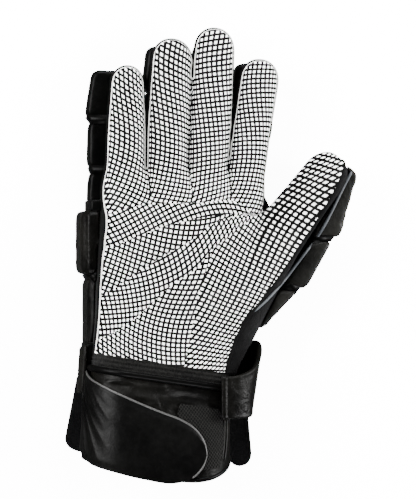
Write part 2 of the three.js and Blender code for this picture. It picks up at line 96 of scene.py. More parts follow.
class Course:
    """A smooth line through stations, read by the distance along it."""

    def __init__(self, stations: Sequence[Sequence[float]], space: int = 3) -> None:
        """Fit the line.

        Args:
            stations: Rows whose first columns are the place, and the rest go along with it.
            space: How many columns are the place.
        """
        rows = np.asarray(stations, float)
        step = np.linalg.norm(np.diff(rows[:, :space], axis=0), axis=1)
        rise = np.diff(rows, axis=0) / step[:, None]
        slope = np.empty_like(rows)
        inner = rise[:-1] * step[1:, None] + rise[1:] * step[:-1, None]
        slope[1:-1] = inner / (step[1:] + step[:-1])[:, None]
        slope[0] = 1.5 * rise[0] - 0.5 * slope[1] if len(rows) > 2 else rise[0]
        slope[-1] = 1.5 * rise[-1] - 0.5 * slope[-2] if len(rows) > 2 else rise[-1]
        dense = [rows[:1]]
        for i, h in enumerate(step):
            t = np.linspace(0, 1, 25)[1:, None]
            dense.append(
                (2 * t**3 - 3 * t**2 + 1) * rows[i]
                + (t**3 - 2 * t**2 + t) * h * slope[i]
                + (3 * t**2 - 2 * t**3) * rows[i + 1]
                + (t**3 - t**2) * h * slope[i + 1]
            )
        self.rows = np.concatenate(dense)
        self.space = space
        hops = np.linalg.norm(np.diff(self.rows[:, :space], axis=0), axis=1)
        self.reach = np.concatenate(([0.0], np.cumsum(hops)))

    @property
    def length(self) -> float:
        """Length of the line."""
        return float(self.reach[-1])

    def at(self, distance: float) -> np.ndarray:
        """Every column at a distance along the line."""
        return np.array([np.interp(distance, self.reach, column) for column in self.rows.T])

    def by(self, column: int, value: float) -> np.ndarray:
        """Every column where one of them, which only rises or only falls, has a value.

        Args:
            column: Number of that column.
            value: Its value.

        Returns:
            Every column there.
        """
        key = self.rows[:, column]
        rows = self.rows if key[-1] > key[0] else self.rows[::-1]
        return np.array([np.interp(value, rows[:, column], other) for other in rows.T])

    def heading(self, distance: float) -> Vector:
        """Direction of the line at a distance along it.

        Args:
            distance: Distance along the line.

        Returns:
            Unit vector, level where the place has only two columns.
        """
        a, b = self.at(max(distance - 0.4, 0)), self.at(min(distance + 0.4, self.length))
        way = Vector((b - a)[: self.space])
        return way.normalized() if self.space == 3 else Vector((way[0], way[1], 0)).normalized()


@dataclass(frozen=True)
class Shares:
    """How much of a rounded outline's turn each of its parts takes."""

    half_top: float
    corner: float
    side: float
    bottom: float


EVEN_ROUND = Shares(half_top=0.02, corner=0.22, side=0.02, bottom=0.04)
WIDE_ROUND = Shares(half_top=0.1, corner=0.145, side=0.01, bottom=0.2)
STRAP_ROUND = Shares(half_top=0.2, corner=0.04, side=0.01, bottom=0.42)


def rounded_point(width: float, height: float, radius: float, turn: float, shares: Shares) -> Pair:
    """Point of a rounded rectangle.

    Args:
        width: Outer width.
        height: Outer height.
        radius: Radius of the corners.
        turn: Share of the way round, clockwise from the middle of the top.
        shares: Share of that way for each part.

    Returns:
        The point across and up.
    """
    w, h = width / 2, height / 2
    r = max(min(radius, w * 0.98, h * 0.98), 0.0)
    s = shares
    left = turn % 1.0
    parts = (
        (s.half_top, lambda t: (t * (w - r), h)),
        (s.corner, lambda t: (w - r + r * math.sin(t * math.pi / 2), h - r + r * math.cos(t * math.pi / 2))),
        (s.side, lambda t: (w, mix(h - r, r - h, t))),
        (s.corner, lambda t: (w - r + r * math.cos(t * math.pi / 2), r - h - r * math.sin(t * math.pi / 2))),
        (s.bottom, lambda t: (mix(w - r, r - w, t), -h)),
        (s.corner, lambda t: (r - w - r * math.sin(t * math.pi / 2), r - h - r * math.cos(t * math.pi / 2))),
        (s.side, lambda t: (-w, mix(r - h, h - r, t))),
        (s.corner, lambda t: (r - w - r * math.cos(t * math.pi / 2), h - r + r * math.sin(t * math.pi / 2))),
        (s.half_top, lambda t: (mix(r - w, 0, t), h)),
    )
    for share, point in parts:
        if left <= share:
            return point(left / share if share else 0.0)
        left -= share
    return 0.0, h


def wrap_grid(columns: int, rows: int, place: Place, weld: float = 0.01) -> Mesh:
    """A grid whose points are laid on a surface, with the edges that meet welded.

    Args:
        columns: Steps of the first parameter.
        rows: Steps of the second parameter.
        place: Surface point for both parameters, each from 0 to 1.
        weld: Distance within which points are merged.

    Returns:
        The mesh.
    """
    bm = bmesh.new()
    bmesh.ops.create_grid(bm, x_segments=columns, y_segments=rows, size=0.5)
    for vert in bm.verts:
        vert.co = place(vert.co.x + 0.5, vert.co.y + 0.5)
    bmesh.ops.remove_doubles(bm, verts=bm.verts, dist=weld)
    bmesh.ops.dissolve_degenerate(bm, dist=weld / 2, edges=bm.edges)
    return bm


def close_ends(bm: Mesh) -> None:
    """Fill the open ends of a tube and turn its faces outwards.

    Args:
        bm: The tube.
    """
    open_edges = [e for e in bm.edges if e.is_boundary]
    if open_edges:
        bmesh.ops.holes_fill(bm, edges=open_edges, sides=0)
    bmesh.ops.recalc_face_normals(bm, faces=bm.faces)


def evened(points: np.ndarray, step: float) -> np.ndarray:
    """A polyline with points at an even distance.

    Args:
        points: The polyline.
        step: Distance to aim for.

    Returns:
        The polyline through its new points.
    """
    reach = np.concatenate(([0.0], np.cumsum(np.linalg.norm(np.diff(points, axis=0), axis=1))))
    count = max(2, int(round(reach[-1] / step)))
    return np.stack([np.interp(np.linspace(0, reach[-1], count + 1), reach, c) for c in points.T], axis=1)


def relaxed(points: np.ndarray, rounds: int) -> np.ndarray:
    """A polyline with its small kinks smoothed and its ends kept.

    Args:
        points: The polyline.
        rounds: How often it is smoothed.

    Returns:
        The smoother polyline.
    """
    points = points.copy()
    for _ in range(rounds):
        points[1:-1] = 0.5 * points[1:-1] + 0.25 * (points[:-2] + points[2:])
    return points


def cord_mesh(points: np.ndarray, radius: float, sides: int = 10, flat: float = 1.0) -> Mesh:
    """A round or flattened cord along a polyline, with domed ends.

    Args:
        points: Centre line.
        radius: Radius across the cord.
        sides: Faces round it.
        flat: Height of the section as a share of its width.

    Returns:
        The mesh.
    """
    count = len(points)
    heads = np.gradient(points, axis=0)
    frames = []
    up = Vector((0.0, 0.0, 1.0))
    for head in heads:
        forward = Vector(head).normalized()
        side = forward.cross(up)
        if side.length < 1e-3:
            side = forward.cross(Vector((1.0, 0.0, 0.0)))
        side.normalize()
        frames.append((side, side.cross(forward).normalized()))

    def place(s: float, t: float) -> Vector:
        """Point of the cord's surface.

        Args:
            s: Share of the way round.
            t: Share of the way along.

        Returns:
            The point.
        """
        along = t * (count - 1)
        i = min(int(round(along)), count - 1)
        end = min(i, count - 1 - i)
        grow = 0.0 if end == 0 else (0.75 if end == 1 else 1.0)
        angle = s * 2 * math.pi
        side, high = frames[i]
        out = side * math.cos(angle) + high * (math.sin(angle) * flat)
        return Vector(points[i]) + out * (radius * grow)

    bm = wrap_grid(sides, count - 1, place, weld=radius * 0.02)
    close_ends(bm)
    return bm


def joined(parts: Iterable[Mesh]) -> Mesh:
    """Several meshes as one.

    Args:
        parts: The meshes, which are freed.

    Returns:
        The whole mesh.
    """
    whole = bmesh.new()
    for part in parts:
        mesh = bpy.data.meshes.new("part")
        part.to_mesh(mesh)
        part.free()
        whole.from_mesh(mesh)
        bpy.data.meshes.remove(mesh)
    return whole


def object_from(bm: Mesh, name: str, smooth: bool = True) -> bpy.types.Object:
    """A linked object from a mesh.

    Args:
        bm: The mesh, which is freed.
        name: Name of the object.
        smooth: Whether its faces are shaded smooth.

    Returns:
        The object.
    """
    mesh = bpy.data.meshes.new(name)
    for face in bm.faces:
        face.smooth = smooth
    bm.to_mesh(mesh)
    bm.free()
    obj = bpy.data.objects.new(name, mesh)
    bpy.context.scene.collection.objects.link(obj)
    return obj


def soften(bm: Mesh, factor: float) -> None:
    """Move every point towards its neighbours once."""
    axes = {"use_axis_x": True, "use_axis_y": True, "use_axis_z": True}
    bmesh.ops.smooth_vert(bm, verts=bm.verts, factor=factor, **axes)


def all_of(bm: Mesh) -> list:
    """Every point, edge and face of a mesh."""
    return bm.verts[:] + bm.edges[:] + bm.faces[:]


def face_up(bm: Mesh) -> None:
    """Turn a sheet's faces out, so that its highest one looks up.

    Args:
        bm: The sheet.
    """
    bmesh.ops.recalc_face_normals(bm, faces=bm.faces)
    if max(bm.faces, key=lambda f: f.calc_center_median().z).normal.z < 0:
        bmesh.ops.reverse_faces(bm, faces=bm.faces)


def settled(obj: bpy.types.Object) -> None:
    """Apply an object's modifiers to its mesh.

    Args:
        obj: The object.
    """
    bpy.context.view_layer.update()
    graph = bpy.context.evaluated_depsgraph_get()
    mesh = bpy.data.meshes.new_from_object(obj.evaluated_get(graph))
    obj.modifiers.clear()
    old = obj.data
    obj.data = mesh
    bpy.data.meshes.remove(old)


def wrinkle(point: Vector, size: Sequence[float], seed: float = 0.0) -> float:
    """Smooth seeded noise at a point, about -1 to 1, with its own size along each axis."""
    x, y, z = (place / grain for place, grain in zip(point, size))
    return noise.noise(Vector((x + seed, y - seed, z + 2 * seed)))


# Finishes


class Way(Enum):
    """How a value runs between two ends."""

    STRAIGHT = "LINEAR"
    SOFT = "SMOOTHSTEP"


class Blend(Enum):
    """What a Mix node mixes: its data type, the number of its first input and that of its output."""

    PLACES = ("VECTOR", 4, 1)
    COLOURS = ("RGBA", 6, 2)


class Recipe:
    """One material, built node by node."""

    def __init__(self, name: str) -> None:
        """Start a material with a plain shader.

        Args:
            name: Name of the material.
        """
        self.material = bpy.data.materials.new(name)
        self.material.use_nodes = True
        self.tree = self.material.node_tree
        self.shader = self.tree.nodes["Principled BSDF"]

    def feed(self, socket: Socket, value: object) -> None:
        """Link or set a socket.

        Args:
            socket: The input.
            value: A value, or the output to link.
        """
        if isinstance(value, Socket):
            self.tree.links.new(value, socket)
        else:
            socket.default_value = value

    def add(self, kind: str, sockets: dict | None = None, **settings: object) -> bpy.types.Node:
        """Add a node.

        Args:
            kind: Node type without its prefix.
            sockets: Values or links of its inputs.
            settings: Properties of the node.

        Returns:
            The node.
        """
        node = self.tree.nodes.new("ShaderNode" + kind)
        for key, value in settings.items():
            setattr(node, key, value)
        for key, value in (sockets or {}).items():
            self.feed(node.inputs[key], value)
        return node

    def sum(self, operation: str, *values: object, clamp: bool = False) -> Socket:
        """Result of a Math node."""
        node = self.add("Math", {i: v for i, v in enumerate(values)}, operation=operation, use_clamp=clamp)
        return node.outputs[0]

    def vector(self, operation: str, *values: object) -> Socket:
        """Result of a Vector Math node."""
        return self.add("VectorMath", {i: v for i, v in enumerate(values)}, operation=operation).outputs[0]

    def spread(
        self,
        value: object,
        start: float,
        end: float,
        low: float = 0.0,
        high: float = 1.0,
        way: Way = Way.STRAIGHT,
    ) -> Socket:
        """A value carried from one range to another.

        Args:
            value: The value.
            start: Value that gives low.
            end: Value that gives high.
            low: Result at start.
            high: Result at end.
            way: How it runs between them.

        Returns:
            The result.
        """
        sockets = {"Value": value, "From Min": start, "From Max": end, "To Min": low, "To Max": high}
        return self.add("MapRange", sockets, interpolation_type=way.value).outputs[0]

    def cloud(self, where: object, scale: float, detail: float, **more: float) -> Socket:
        """Soft noise at a place."""
        sockets = {"Vector": where, "Scale": scale, "Detail": detail, **more}
        return self.add("TexNoise", sockets).outputs["Fac"]

    def blend(self, kind: Blend, share: object, first: object, second: object) -> Socket:
        """Mix of two places or two colours.

        Args:
            kind: What they are.
            share: How much of the second.
            first: The first one.
            second: The second one.

        Returns:
            The mix.
        """
        data, socket, result = kind.value
        sockets = {"Factor": share, socket: first, socket + 1: second}
        return self.add("Mix", sockets, data_type=data).outputs[result]

    def place(self, scale: Sequence[float] = (1, 1, 1), turn: Sequence[float] = (0, 0, 0)) -> Socket:
        """Object coordinates, scaled and turned."""
        here = self.add("TexCoord").outputs["Object"]
        return self.add("Mapping", {"Vector": here, "Scale": scale, "Rotation": turn}).outputs[0]

    def ramp(self, value: object, stops: Sequence[tuple[float, Triple]]) -> Socket:
        """Colour by a value.

        Args:
            value: What the colour goes by.
            stops: Places and colours along the ramp.

        Returns:
            The colour.
        """
        node = self.add("ValToRGB", {"Fac": value})
        elements = node.color_ramp.elements
        while len(elements) < len(stops):
            elements.new(0.5)
        for element, (where, colour) in zip(elements, stops):
            element.position = where
            element.color = (*colour, 1.0)
        return node.outputs["Color"]

    def bump(
        self, height: object, distance: float, strength: float = 1.0, under: object = None
    ) -> Socket:
        """Normal from a height.

        Args:
            height: The relief.
            distance: Its height in metres.
            strength: How much of it shows.
            under: Normal that it is laid on.

        Returns:
            The normal.
        """
        sockets = {"Height": height, "Distance": distance, "Strength": strength}
        if under is not None:
            sockets["Normal"] = under
        return self.add("Bump", sockets).outputs[0]

    def set(self, **values: object) -> None:
        """Set or link sockets of the shader, with underscores for spaces."""
        for key, value in values.items():
            self.feed(self.shader.inputs[key.replace("_", " ")], value)


@dataclass(frozen=True)
class Leather:
    """Soft black leather with a fine grain."""

    name: str = "soft_leather"
    dark: Triple = (0.0003, 0.0003, 0.0003)
    light: Triple = (0.001, 0.001, 0.0009)
    rough: Pair = (0.3, 0.42)
    gloss: float = 0.03
    grain: float = 0.00005
    crease: float = 0.0005

    def make(self) -> bpy.types.Material:
        """Build the material.

        Returns:
            The material.
        """
        r = Recipe(self.name)
        here = r.place()
        cloud = r.cloud(here, 45.0, 4.0, Roughness=0.6)
        r.set(Base_Color=r.ramp(cloud, [(0.3, self.dark), (0.72, self.light)]))
        fine = r.cloud(here, 320.0, 3.0)
        blend = r.sum("MULTIPLY_ADD", fine, 0.5, r.sum("MULTIPLY", cloud, 0.5))
        r.set(Roughness=r.spread(blend, 0.35, 0.65, *self.rough))
        pebbles = r.add("TexVoronoi", {"Vector": here, "Scale": 1300.0}, feature="DISTANCE_TO_EDGE")
        grains = r.bump(r.sum("MINIMUM", pebbles.outputs["Distance"], 0.25), self.grain, 0.6)
        folds = r.cloud(here, 130.0, 5.0, Roughness=0.62, Distortion=1.3)
        r.set(Normal=r.bump(folds, self.crease, 0.55, grains), Specular_IOR_Level=self.gloss)
        return r.material


@dataclass(frozen=True)
class Knit:
    """Matt black knit or fleece."""

    name: str = "black_knit"
    dark: Triple = (0.0008, 0.0008, 0.0009)
    light: Triple = (0.003, 0.003, 0.0031)
    loops: float = 1500.0
    sheen: float = 0.01

    def make(self) -> bpy.types.Material:
        """Build the material.

        Returns:
            The material.
        """
        r = Recipe(self.name)
        here = r.place()
        loops = r.add("TexVoronoi", {"Vector": here, "Scale": self.loops}).outputs["Distance"]
        cloud = r.cloud(here, 90.0, 5.0)
        tone = r.sum("MULTIPLY_ADD", loops, 0.5, r.sum("MULTIPLY", cloud, 0.6))
        r.set(Base_Color=r.ramp(tone, [(0.3, self.dark), (0.8, self.light)]))
        r.set(Normal=r.bump(loops, 0.0003, 0.8), Roughness=0.95, Specular_IOR_Level=0.02)
        r.set(Sheen_Weight=self.sheen, Sheen_Roughness=0.5)
        return r.material


@dataclass(frozen=True)
class GridCloth:
    """White palm cloth with a raised black rubber grid, on the piece's own pattern maps."""

    name: str = "grid_cloth"
    cloth: Triple = (0.96, 0.96, 0.945)
    rubber: Triple = (0.0004, 0.0004, 0.0004)
    corner: float = 0.06
    edge: float = 0.045
    shake: float = 0.16

    def make(self) -> bpy.types.Material:
        """Build the material.

        Returns:
            The material.
        """
        r = Recipe(self.name)
        maps = [r.add("UVMap", uv_map=pattern.value).outputs[0] for pattern in Pattern]
        band = r.add("Attribute", attribute_name="band_side").outputs["Fac"]
        thumb = r.add("Attribute", attribute_name="thumb_side").outputs["Fac"]
        width = r.add("Attribute", attribute_name="line_share").outputs["Fac"]
        palm = r.blend(Blend.PLACES, r.sum("LESS_THAN", band, 0.0), maps[0], maps[1])
        onto = r.blend(Blend.PLACES, r.sum("GREATER_THAN", thumb, 0.0), palm, maps[2])
        drift = r.add("TexNoise", {"Vector": onto, "Scale": 1.7, "Detail": 2.0}).outputs["Color"]
        drift = r.vector("SUBTRACT", drift, (0.5, 0.5, 0.5))
        drift = r.vector("MULTIPLY", drift, (self.shake, self.shake, 0.0))
        cell = r.vector("FRACTION", r.vector("ADD", onto, drift))
        cell = r.vector("ABSOLUTE", r.vector("SUBTRACT", cell, (0.5, 0.5, 0.0)))
        reach = r.sum("SUBTRACT", 0.5 - self.corner, r.sum("MULTIPLY", width, 0.5))
        across = r.add("SeparateXYZ", {0: cell})
        over = [r.sum("MAXIMUM", r.sum("SUBTRACT", across.outputs[i], reach), 0.0) for i in (0, 1)]
        away = r.sum("SQRT", r.sum("ADD", *(r.sum("MULTIPLY", value, value) for value in over)))
        line = r.spread(away, self.corner - self.edge, self.corner + self.edge, way=Way.SOFT)
        weave = r.cloud(r.place(), 900.0, 3.0)
        soil = r.cloud(r.place(), 40.0, 4.0)
        shade = r.sum("MULTIPLY_ADD", weave, 0.6, r.sum("MULTIPLY", soil, 0.4))
        white = r.ramp(shade, [(0.25, tuple(c * 0.9 for c in self.cloth)), (0.6, self.cloth)])
        tint = r.blend(Blend.COLOURS, line, white, (*self.rubber, 1.0))
        raised = r.bump(line, 0.0004, 0.7, r.bump(weave, 0.0002, 0.5))
        rough = r.spread(line, 0.0, 1.0, 0.85, 0.5)
        r.set(Base_Color=tint, Roughness=rough, Normal=raised, Specular_IOR_Level=0.02)
        return r.material


@dataclass(frozen=True)
class Plain:
    """A fine thread, tape or cord."""

    name: str
    colour: Triple
    roughness: float = 0.7
    twist: float = 1400.0
    depth: float = 0.00015
    shine: float = 0.5

    def make(self) -> bpy.types.Material:
        """Build the material.

        Returns:
            The material.
        """
        r = Recipe(self.name)
        here = r.place()
        fibre = r.cloud(here, self.twist, 2.0)
        low = tuple(c * 0.6 for c in self.colour)
        r.set(Base_Color=r.ramp(fibre, [(0.3, low), (0.65, self.colour)]))
        r.set(Normal=r.bump(fibre, self.depth, 0.6))
        r.set(Roughness=self.roughness, Specular_IOR_Level=self.shine)
        return r.material


@dataclass(frozen=True)
class HookTape:
    """Napped closing tape with a diamond net, on Object coordinates."""

    name: str = "closing_tape"
    angles: Pair = (0.62, -0.72)
    mesh: float = 0.0015

    def make(self) -> bpy.types.Material:
        """Build the material.

        Returns:
            The material.
        """
        r = Recipe(self.name)
        nets = []
        for angle in self.angles:
            here = r.place(turn=(0.0, 0.0, angle))
            along = r.add("SeparateXYZ", {0: here}).outputs[0]
            wave = r.sum("SINE", r.sum("MULTIPLY", along, 2 * math.pi / self.mesh))
            nets.append(r.spread(wave, 0.55, 0.95, way=Way.SOFT))
        net = r.sum("MAXIMUM", *nets)
        fuzz = r.cloud(r.place(), 1500.0, 3.0)
        tone = r.sum("MULTIPLY", net, r.sum("MULTIPLY_ADD", fuzz, 1.0, 0.25))
        r.set(Base_Color=r.ramp(tone, [(0.1, (0.0004, 0.0004, 0.0004)), (0.9, (0.011, 0.011, 0.0102))]))
        r.set(Normal=r.bump(r.sum("MULTIPLY_ADD", fuzz, 0.6, net), 0.0004, 0.8))
        r.set(Roughness=0.85, Specular_IOR_Level=0.04)
        return r.material


class Pattern(Enum):
    """Maps of the palm cloth's grid: neighbouring bands between folds use different ones."""

    EVEN = "grid_even"
    ODD = "grid_odd"
    THUMB = "grid_thumb"


class Wardrobe:
    """Every finish of the glove, made once."""

    def __init__(self) -> None:
        """Make the materials."""
        self.leather = Leather().make()
        self.gloss = Leather(name="polished_leather", rough=(0.32, 0.46), gloss=0.04, crease=0.0004).make()
        # Lighter copy of the leather for the thumb pads and the cuff's welts: the light on the pads' outer
        # faces is painted into its colour.
        self.lit_leather = Leather(
            name="painted_lit_leather",
            dark=(0.0009, 0.0009, 0.0008),
            light=(0.005, 0.0049, 0.004),
            rough=(0.34, 0.5),
            gloss=0.08,
            crease=0.0008,
        ).make()
        self.creased = Leather(
            name="creased_leather",
            light=(0.0021, 0.002, 0.0016),
            rough=(0.3, 0.48),
            gloss=0.05,
            crease=0.0011,
        ).make()
        self.knit = Knit().make()
        self.rib = Knit(
            name="ribbed_elastic_knit",
            light=(0.006, 0.006, 0.0056),
            loops=900.0,
            sheen=0.02,
        ).make()
        self.fleece = Knit(name="tape_fleece", loops=1100.0, sheen=0.0).make()
        self.lining = Knit(name="cuff_lining", dark=(0.003, 0.003, 0.003), light=(0.008, 0.008, 0.008)).make()
        self.grid = GridCloth().make()
        self.piping = Plain("white_piping", (0.66, 0.66, 0.63), 0.75).make()
        self.binding = Plain("grey_binding", (0.012, 0.016, 0.021), 0.6, twist=2200.0).make()
        # Black thread, also laid in the finger creases as painted shadow.
        self.thread = Plain("black_thread_and_crease_shadow", (0.001, 0.001, 0.001), 0.8, shine=0.04).make()
        self.tape = HookTape().make()
        # Grey piping, lighter than the flap's leather: partly its own tone, partly a painted highlight along
        # the flap's lit upper edge.
        self.lit_edging = Plain("flap_edging_painted_highlight", (0.014, 0.014, 0.013), 0.5, twist=900.0).make()


class Slot(Enum):
    """Material slots."""

    LEATHER = "black_leather"
    CLOTH = "black_cloth"
    GRIP = "grip_cloth"
    ELASTIC = "ribbed_elastic"


def finish(
    obj: bpy.types.Object, stands_for: Sequence[str], materials: Sequence[bpy.types.Material], slot: Slot
) -> bpy.types.Object:
    """Move a drawn piece to the row frame, give it its materials and attach it to the root.

    Args:
        obj: The piece, in millimetres.
        stands_for: The CAD nodes that it replaces.
        materials: Its materials.
        slot: Not used.

    Returns:
        The piece.
    """
    obj.data.transform(DRAWING_TO_ROW)
    obj.data.materials.clear()
    for material in materials:
        obj.data.materials.append(material)
    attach(obj, "root")
    if stands_for:
        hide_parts(*stands_for)
    stands = ", ".join(stands_for) or "nothing"
    log.info("%s: %d faces, stands for %s", obj.name, len(obj.data.polygons), stands)
    return obj


def wall(obj: bpy.types.Object, thickness: float, inner_slot: int = 0) -> None:
    """Give a shell its thickness, inwards, in metres.

    Args:
        obj: The shell.
        thickness: Its thickness.
        inner_slot: How many slots after the outer face's material the inner one's comes.
    """
    solid = obj.modifiers.new("wall", "SOLIDIFY")
    solid.thickness = thickness
    solid.offset = -1.0
    solid.use_rim = True
    solid.material_offset = inner_slot


# The hand: palm cloth, back and stalls


@dataclass
class HandForm:
    """Shape of the cloth hand: four fingers, thumb and palm, from the CAD's stations."""

    fingers: dict[str, list[tuple[float, float, float, float]]] = field(
        default_factory=lambda: {
            "little": [
                (-51.8, 28, 23.5, 20),
                (-51.2, 60, 23, 19),
                (-50.4, 90, 21, 18),
                (-50.2, 113, 19.5, 16),
            ],
            "ring": [
                (-26.2, 30, 24, 21.5),
                (-25.5, 62, 24.4, 20.5),
                (-24.2, 95, 24.6, 19.5),
                (-21.8, 129.5, 22.5, 17),
            ],
            "middle": [
                (-2.2, 30, 23.5, 22),
                (-0.1, 63, 23.8, 21),
                (1.9, 95, 24.4, 20),
                (4, 137, 22.5, 17),
            ],
            "index": [
                (20.5, 28, 22.5, 21.5),
                (24, 57, 22.2, 20.5),
                (28, 85, 22.4, 19.5),
                (33.4, 118.6, 23, 17),
            ],
        }
    )
    thumb: list[tuple[float, ...]] = field(
        default_factory=lambda: [
            (6, -46, 30.5, 37, 33, 40),
            (24, -13, 30, 37, 32, 52),
            (47.5, 19, 29, 31, 27, 60),
            (69, 46, 28.5, 28, 23.5, 62),
            (80, 60, 28.5, 27, 22, 62),
        ]
    )
    sections: list[tuple[float, ...]] = field(
        default_factory=lambda: [
            (50, -63.5, 34, 31, 9),
            (35, -66.5, 33, 37, 12),
            (20, -68, 31, 40, 13),
            (0, -69, 28, 43, 14),
            (-20, -70, 28, 45, 15),
            (-40, -71, 27, 47, 17),
            (-55, -72.5, 22, 49, 19),
            (-68, -74, 15, 51, 20),
            (-80, -75.5, 11.5, 53, 21),
            (-100, -77.4, 9.8, 56, 22),
            (-120, -79.6, 9.5, 58, 23),
            (-160, -82, 9.5, 60, 24),
        ]
    )

    def __post_init__(self) -> None:
        """Fit the smooth lines."""
        self.section_course = Course(self.sections, space=2)
        self.digits = {
            name: Course([(x, y, SHELL_Z + h / 2, w, h, 0.0) for x, y, w, h in rows])
            for name, rows in self.fingers.items()
        }
        self.digits["thumb"] = Course(self.thumb)

    def section(self, y: float) -> tuple[float, float, float, float]:
        """Left and right edge, top and corner radius of the hand at a place along it."""
        return tuple(self.section_course.by(0, y)[1:5])

    def digit(self, course: Course, columns: int = 48, rows: int = 56) -> Mesh:
        """One finger or the thumb as a closed form.

        Args:
            course: Its stations.
            columns: Steps round it.
            rows: Steps along it.

        Returns:
            The mesh.
        """
        tip = course.rows[-1, 3] / 2
        full = course.length

        def place(s: float, t: float) -> Vector:
            """Point of the digit's skin.

            Args:
                s: Share of the way round.
                t: Share of the way along.

            Returns:
                The point.
            """
            if t <= 0.75:
                at, across, front = (full - tip) * t / 0.75, 1.0, 1.0
            else:
                a = (t - 0.75) / 0.25 * math.pi / 2
                at = full - tip + tip * math.sin(a)
                across, front = max(math.cos(a), 0.0) ** 0.9, max(math.cos(a), 0.0) ** 0.5
            x, y, z, width, height, roll = course.at(min(at, full))
            along = course.heading(min(at, full))
            side = along.cross(Vector((0, 0, 1))).normalized()
            side.rotate(Matrix.Rotation(-math.radians(roll), 3, along))
            palm = side.cross(along).normalized()
            radius = 0.44 * min(width * across, height * front)
            p, q = rounded_point(width * across, height * front, radius, s, EVEN_ROUND)
            return Vector((x, y, z)) + side * p + palm * q

        bm = wrap_grid(columns, rows, place, weld=0.03)
        close_ends(bm)
        return bm

    def palm_point(self, turn: float, y: float) -> Vector:
        """Point of the palm's skin.

        Args:
            turn: Share of the way round.
            y: Place along the hand.

        Returns:
            The point.
        """
        left, right, top, corner = self.section(y)
        x, z = rounded_point(right - left, top - SHELL_Z, corner, turn, WIDE_ROUND)
        return Vector(((left + right) / 2 + x, y, (top + SHELL_Z) / 2 + z))

    def skin(self, voxel: float = 1.15) -> Mesh:
        """The whole hand as one smooth closed skin, in millimetres.

        Args:
            voxel: Size of the cells in which the parts are joined.

        Returns:
            The mesh.
        """
        palm = wrap_grid(110, 60, lambda s, t: self.palm_point(s, mix(-86.0, 50.0, t)))
        close_ends(palm)
        parts = [palm] + [self.digit(course) for course in self.digits.values()]
        obj = object_from(joined(parts), "hand_skin")
        remesh = obj.modifiers.new("remesh", "REMESH")
        remesh.mode = "VOXEL"
        remesh.voxel_size = voxel
        settled(obj)
        bm = bmesh.new()
        bm.from_mesh(obj.data)
        bpy.data.objects.remove(obj)
        for _ in range(5):
            soften(bm, 0.5)
        return bm


@dataclass(frozen=True)
class Fold:
    """A fold across the palm cloth, as its plan line and its depth."""

    depth: float
    points: Outline

    def line(self) -> Course:
        """The smooth plan line."""
        return Course(self.points, space=2)


@dataclass(frozen=True)
class Field:
    """Pattern map of one region of the palm cloth, counted in cells of its grid.

    Both coordinates are polynomials of the place from the region's centre, in steps of 30 mm, after a turn
    in degrees.
    """

    centre: Pair
    turn: float
    columns: tuple[float, ...]
    rows: tuple[float, ...]

    def at(self, x: float, y: float) -> Pair:
        """Pattern coordinates at a point of the plan.

        Args:
            x: Place across.
            y: Place along the hand.

        Returns:
            Columns and rows, in cells.
        """
        a = math.radians(self.turn)
        u = (x * math.cos(a) - y * math.sin(a) - self.centre[0]) / 30
        v = (x * math.sin(a) + y * math.cos(a) - self.centre[1]) / 30
        terms = (1, u, v, u * u, u * v, v * v, u**3, u * u * v, u * v * v, v**3, u * v**3, v**4)
        return sum(c * t for c, t in zip(self.columns, terms)), sum(c * t for c, t in zip(self.rows, terms))


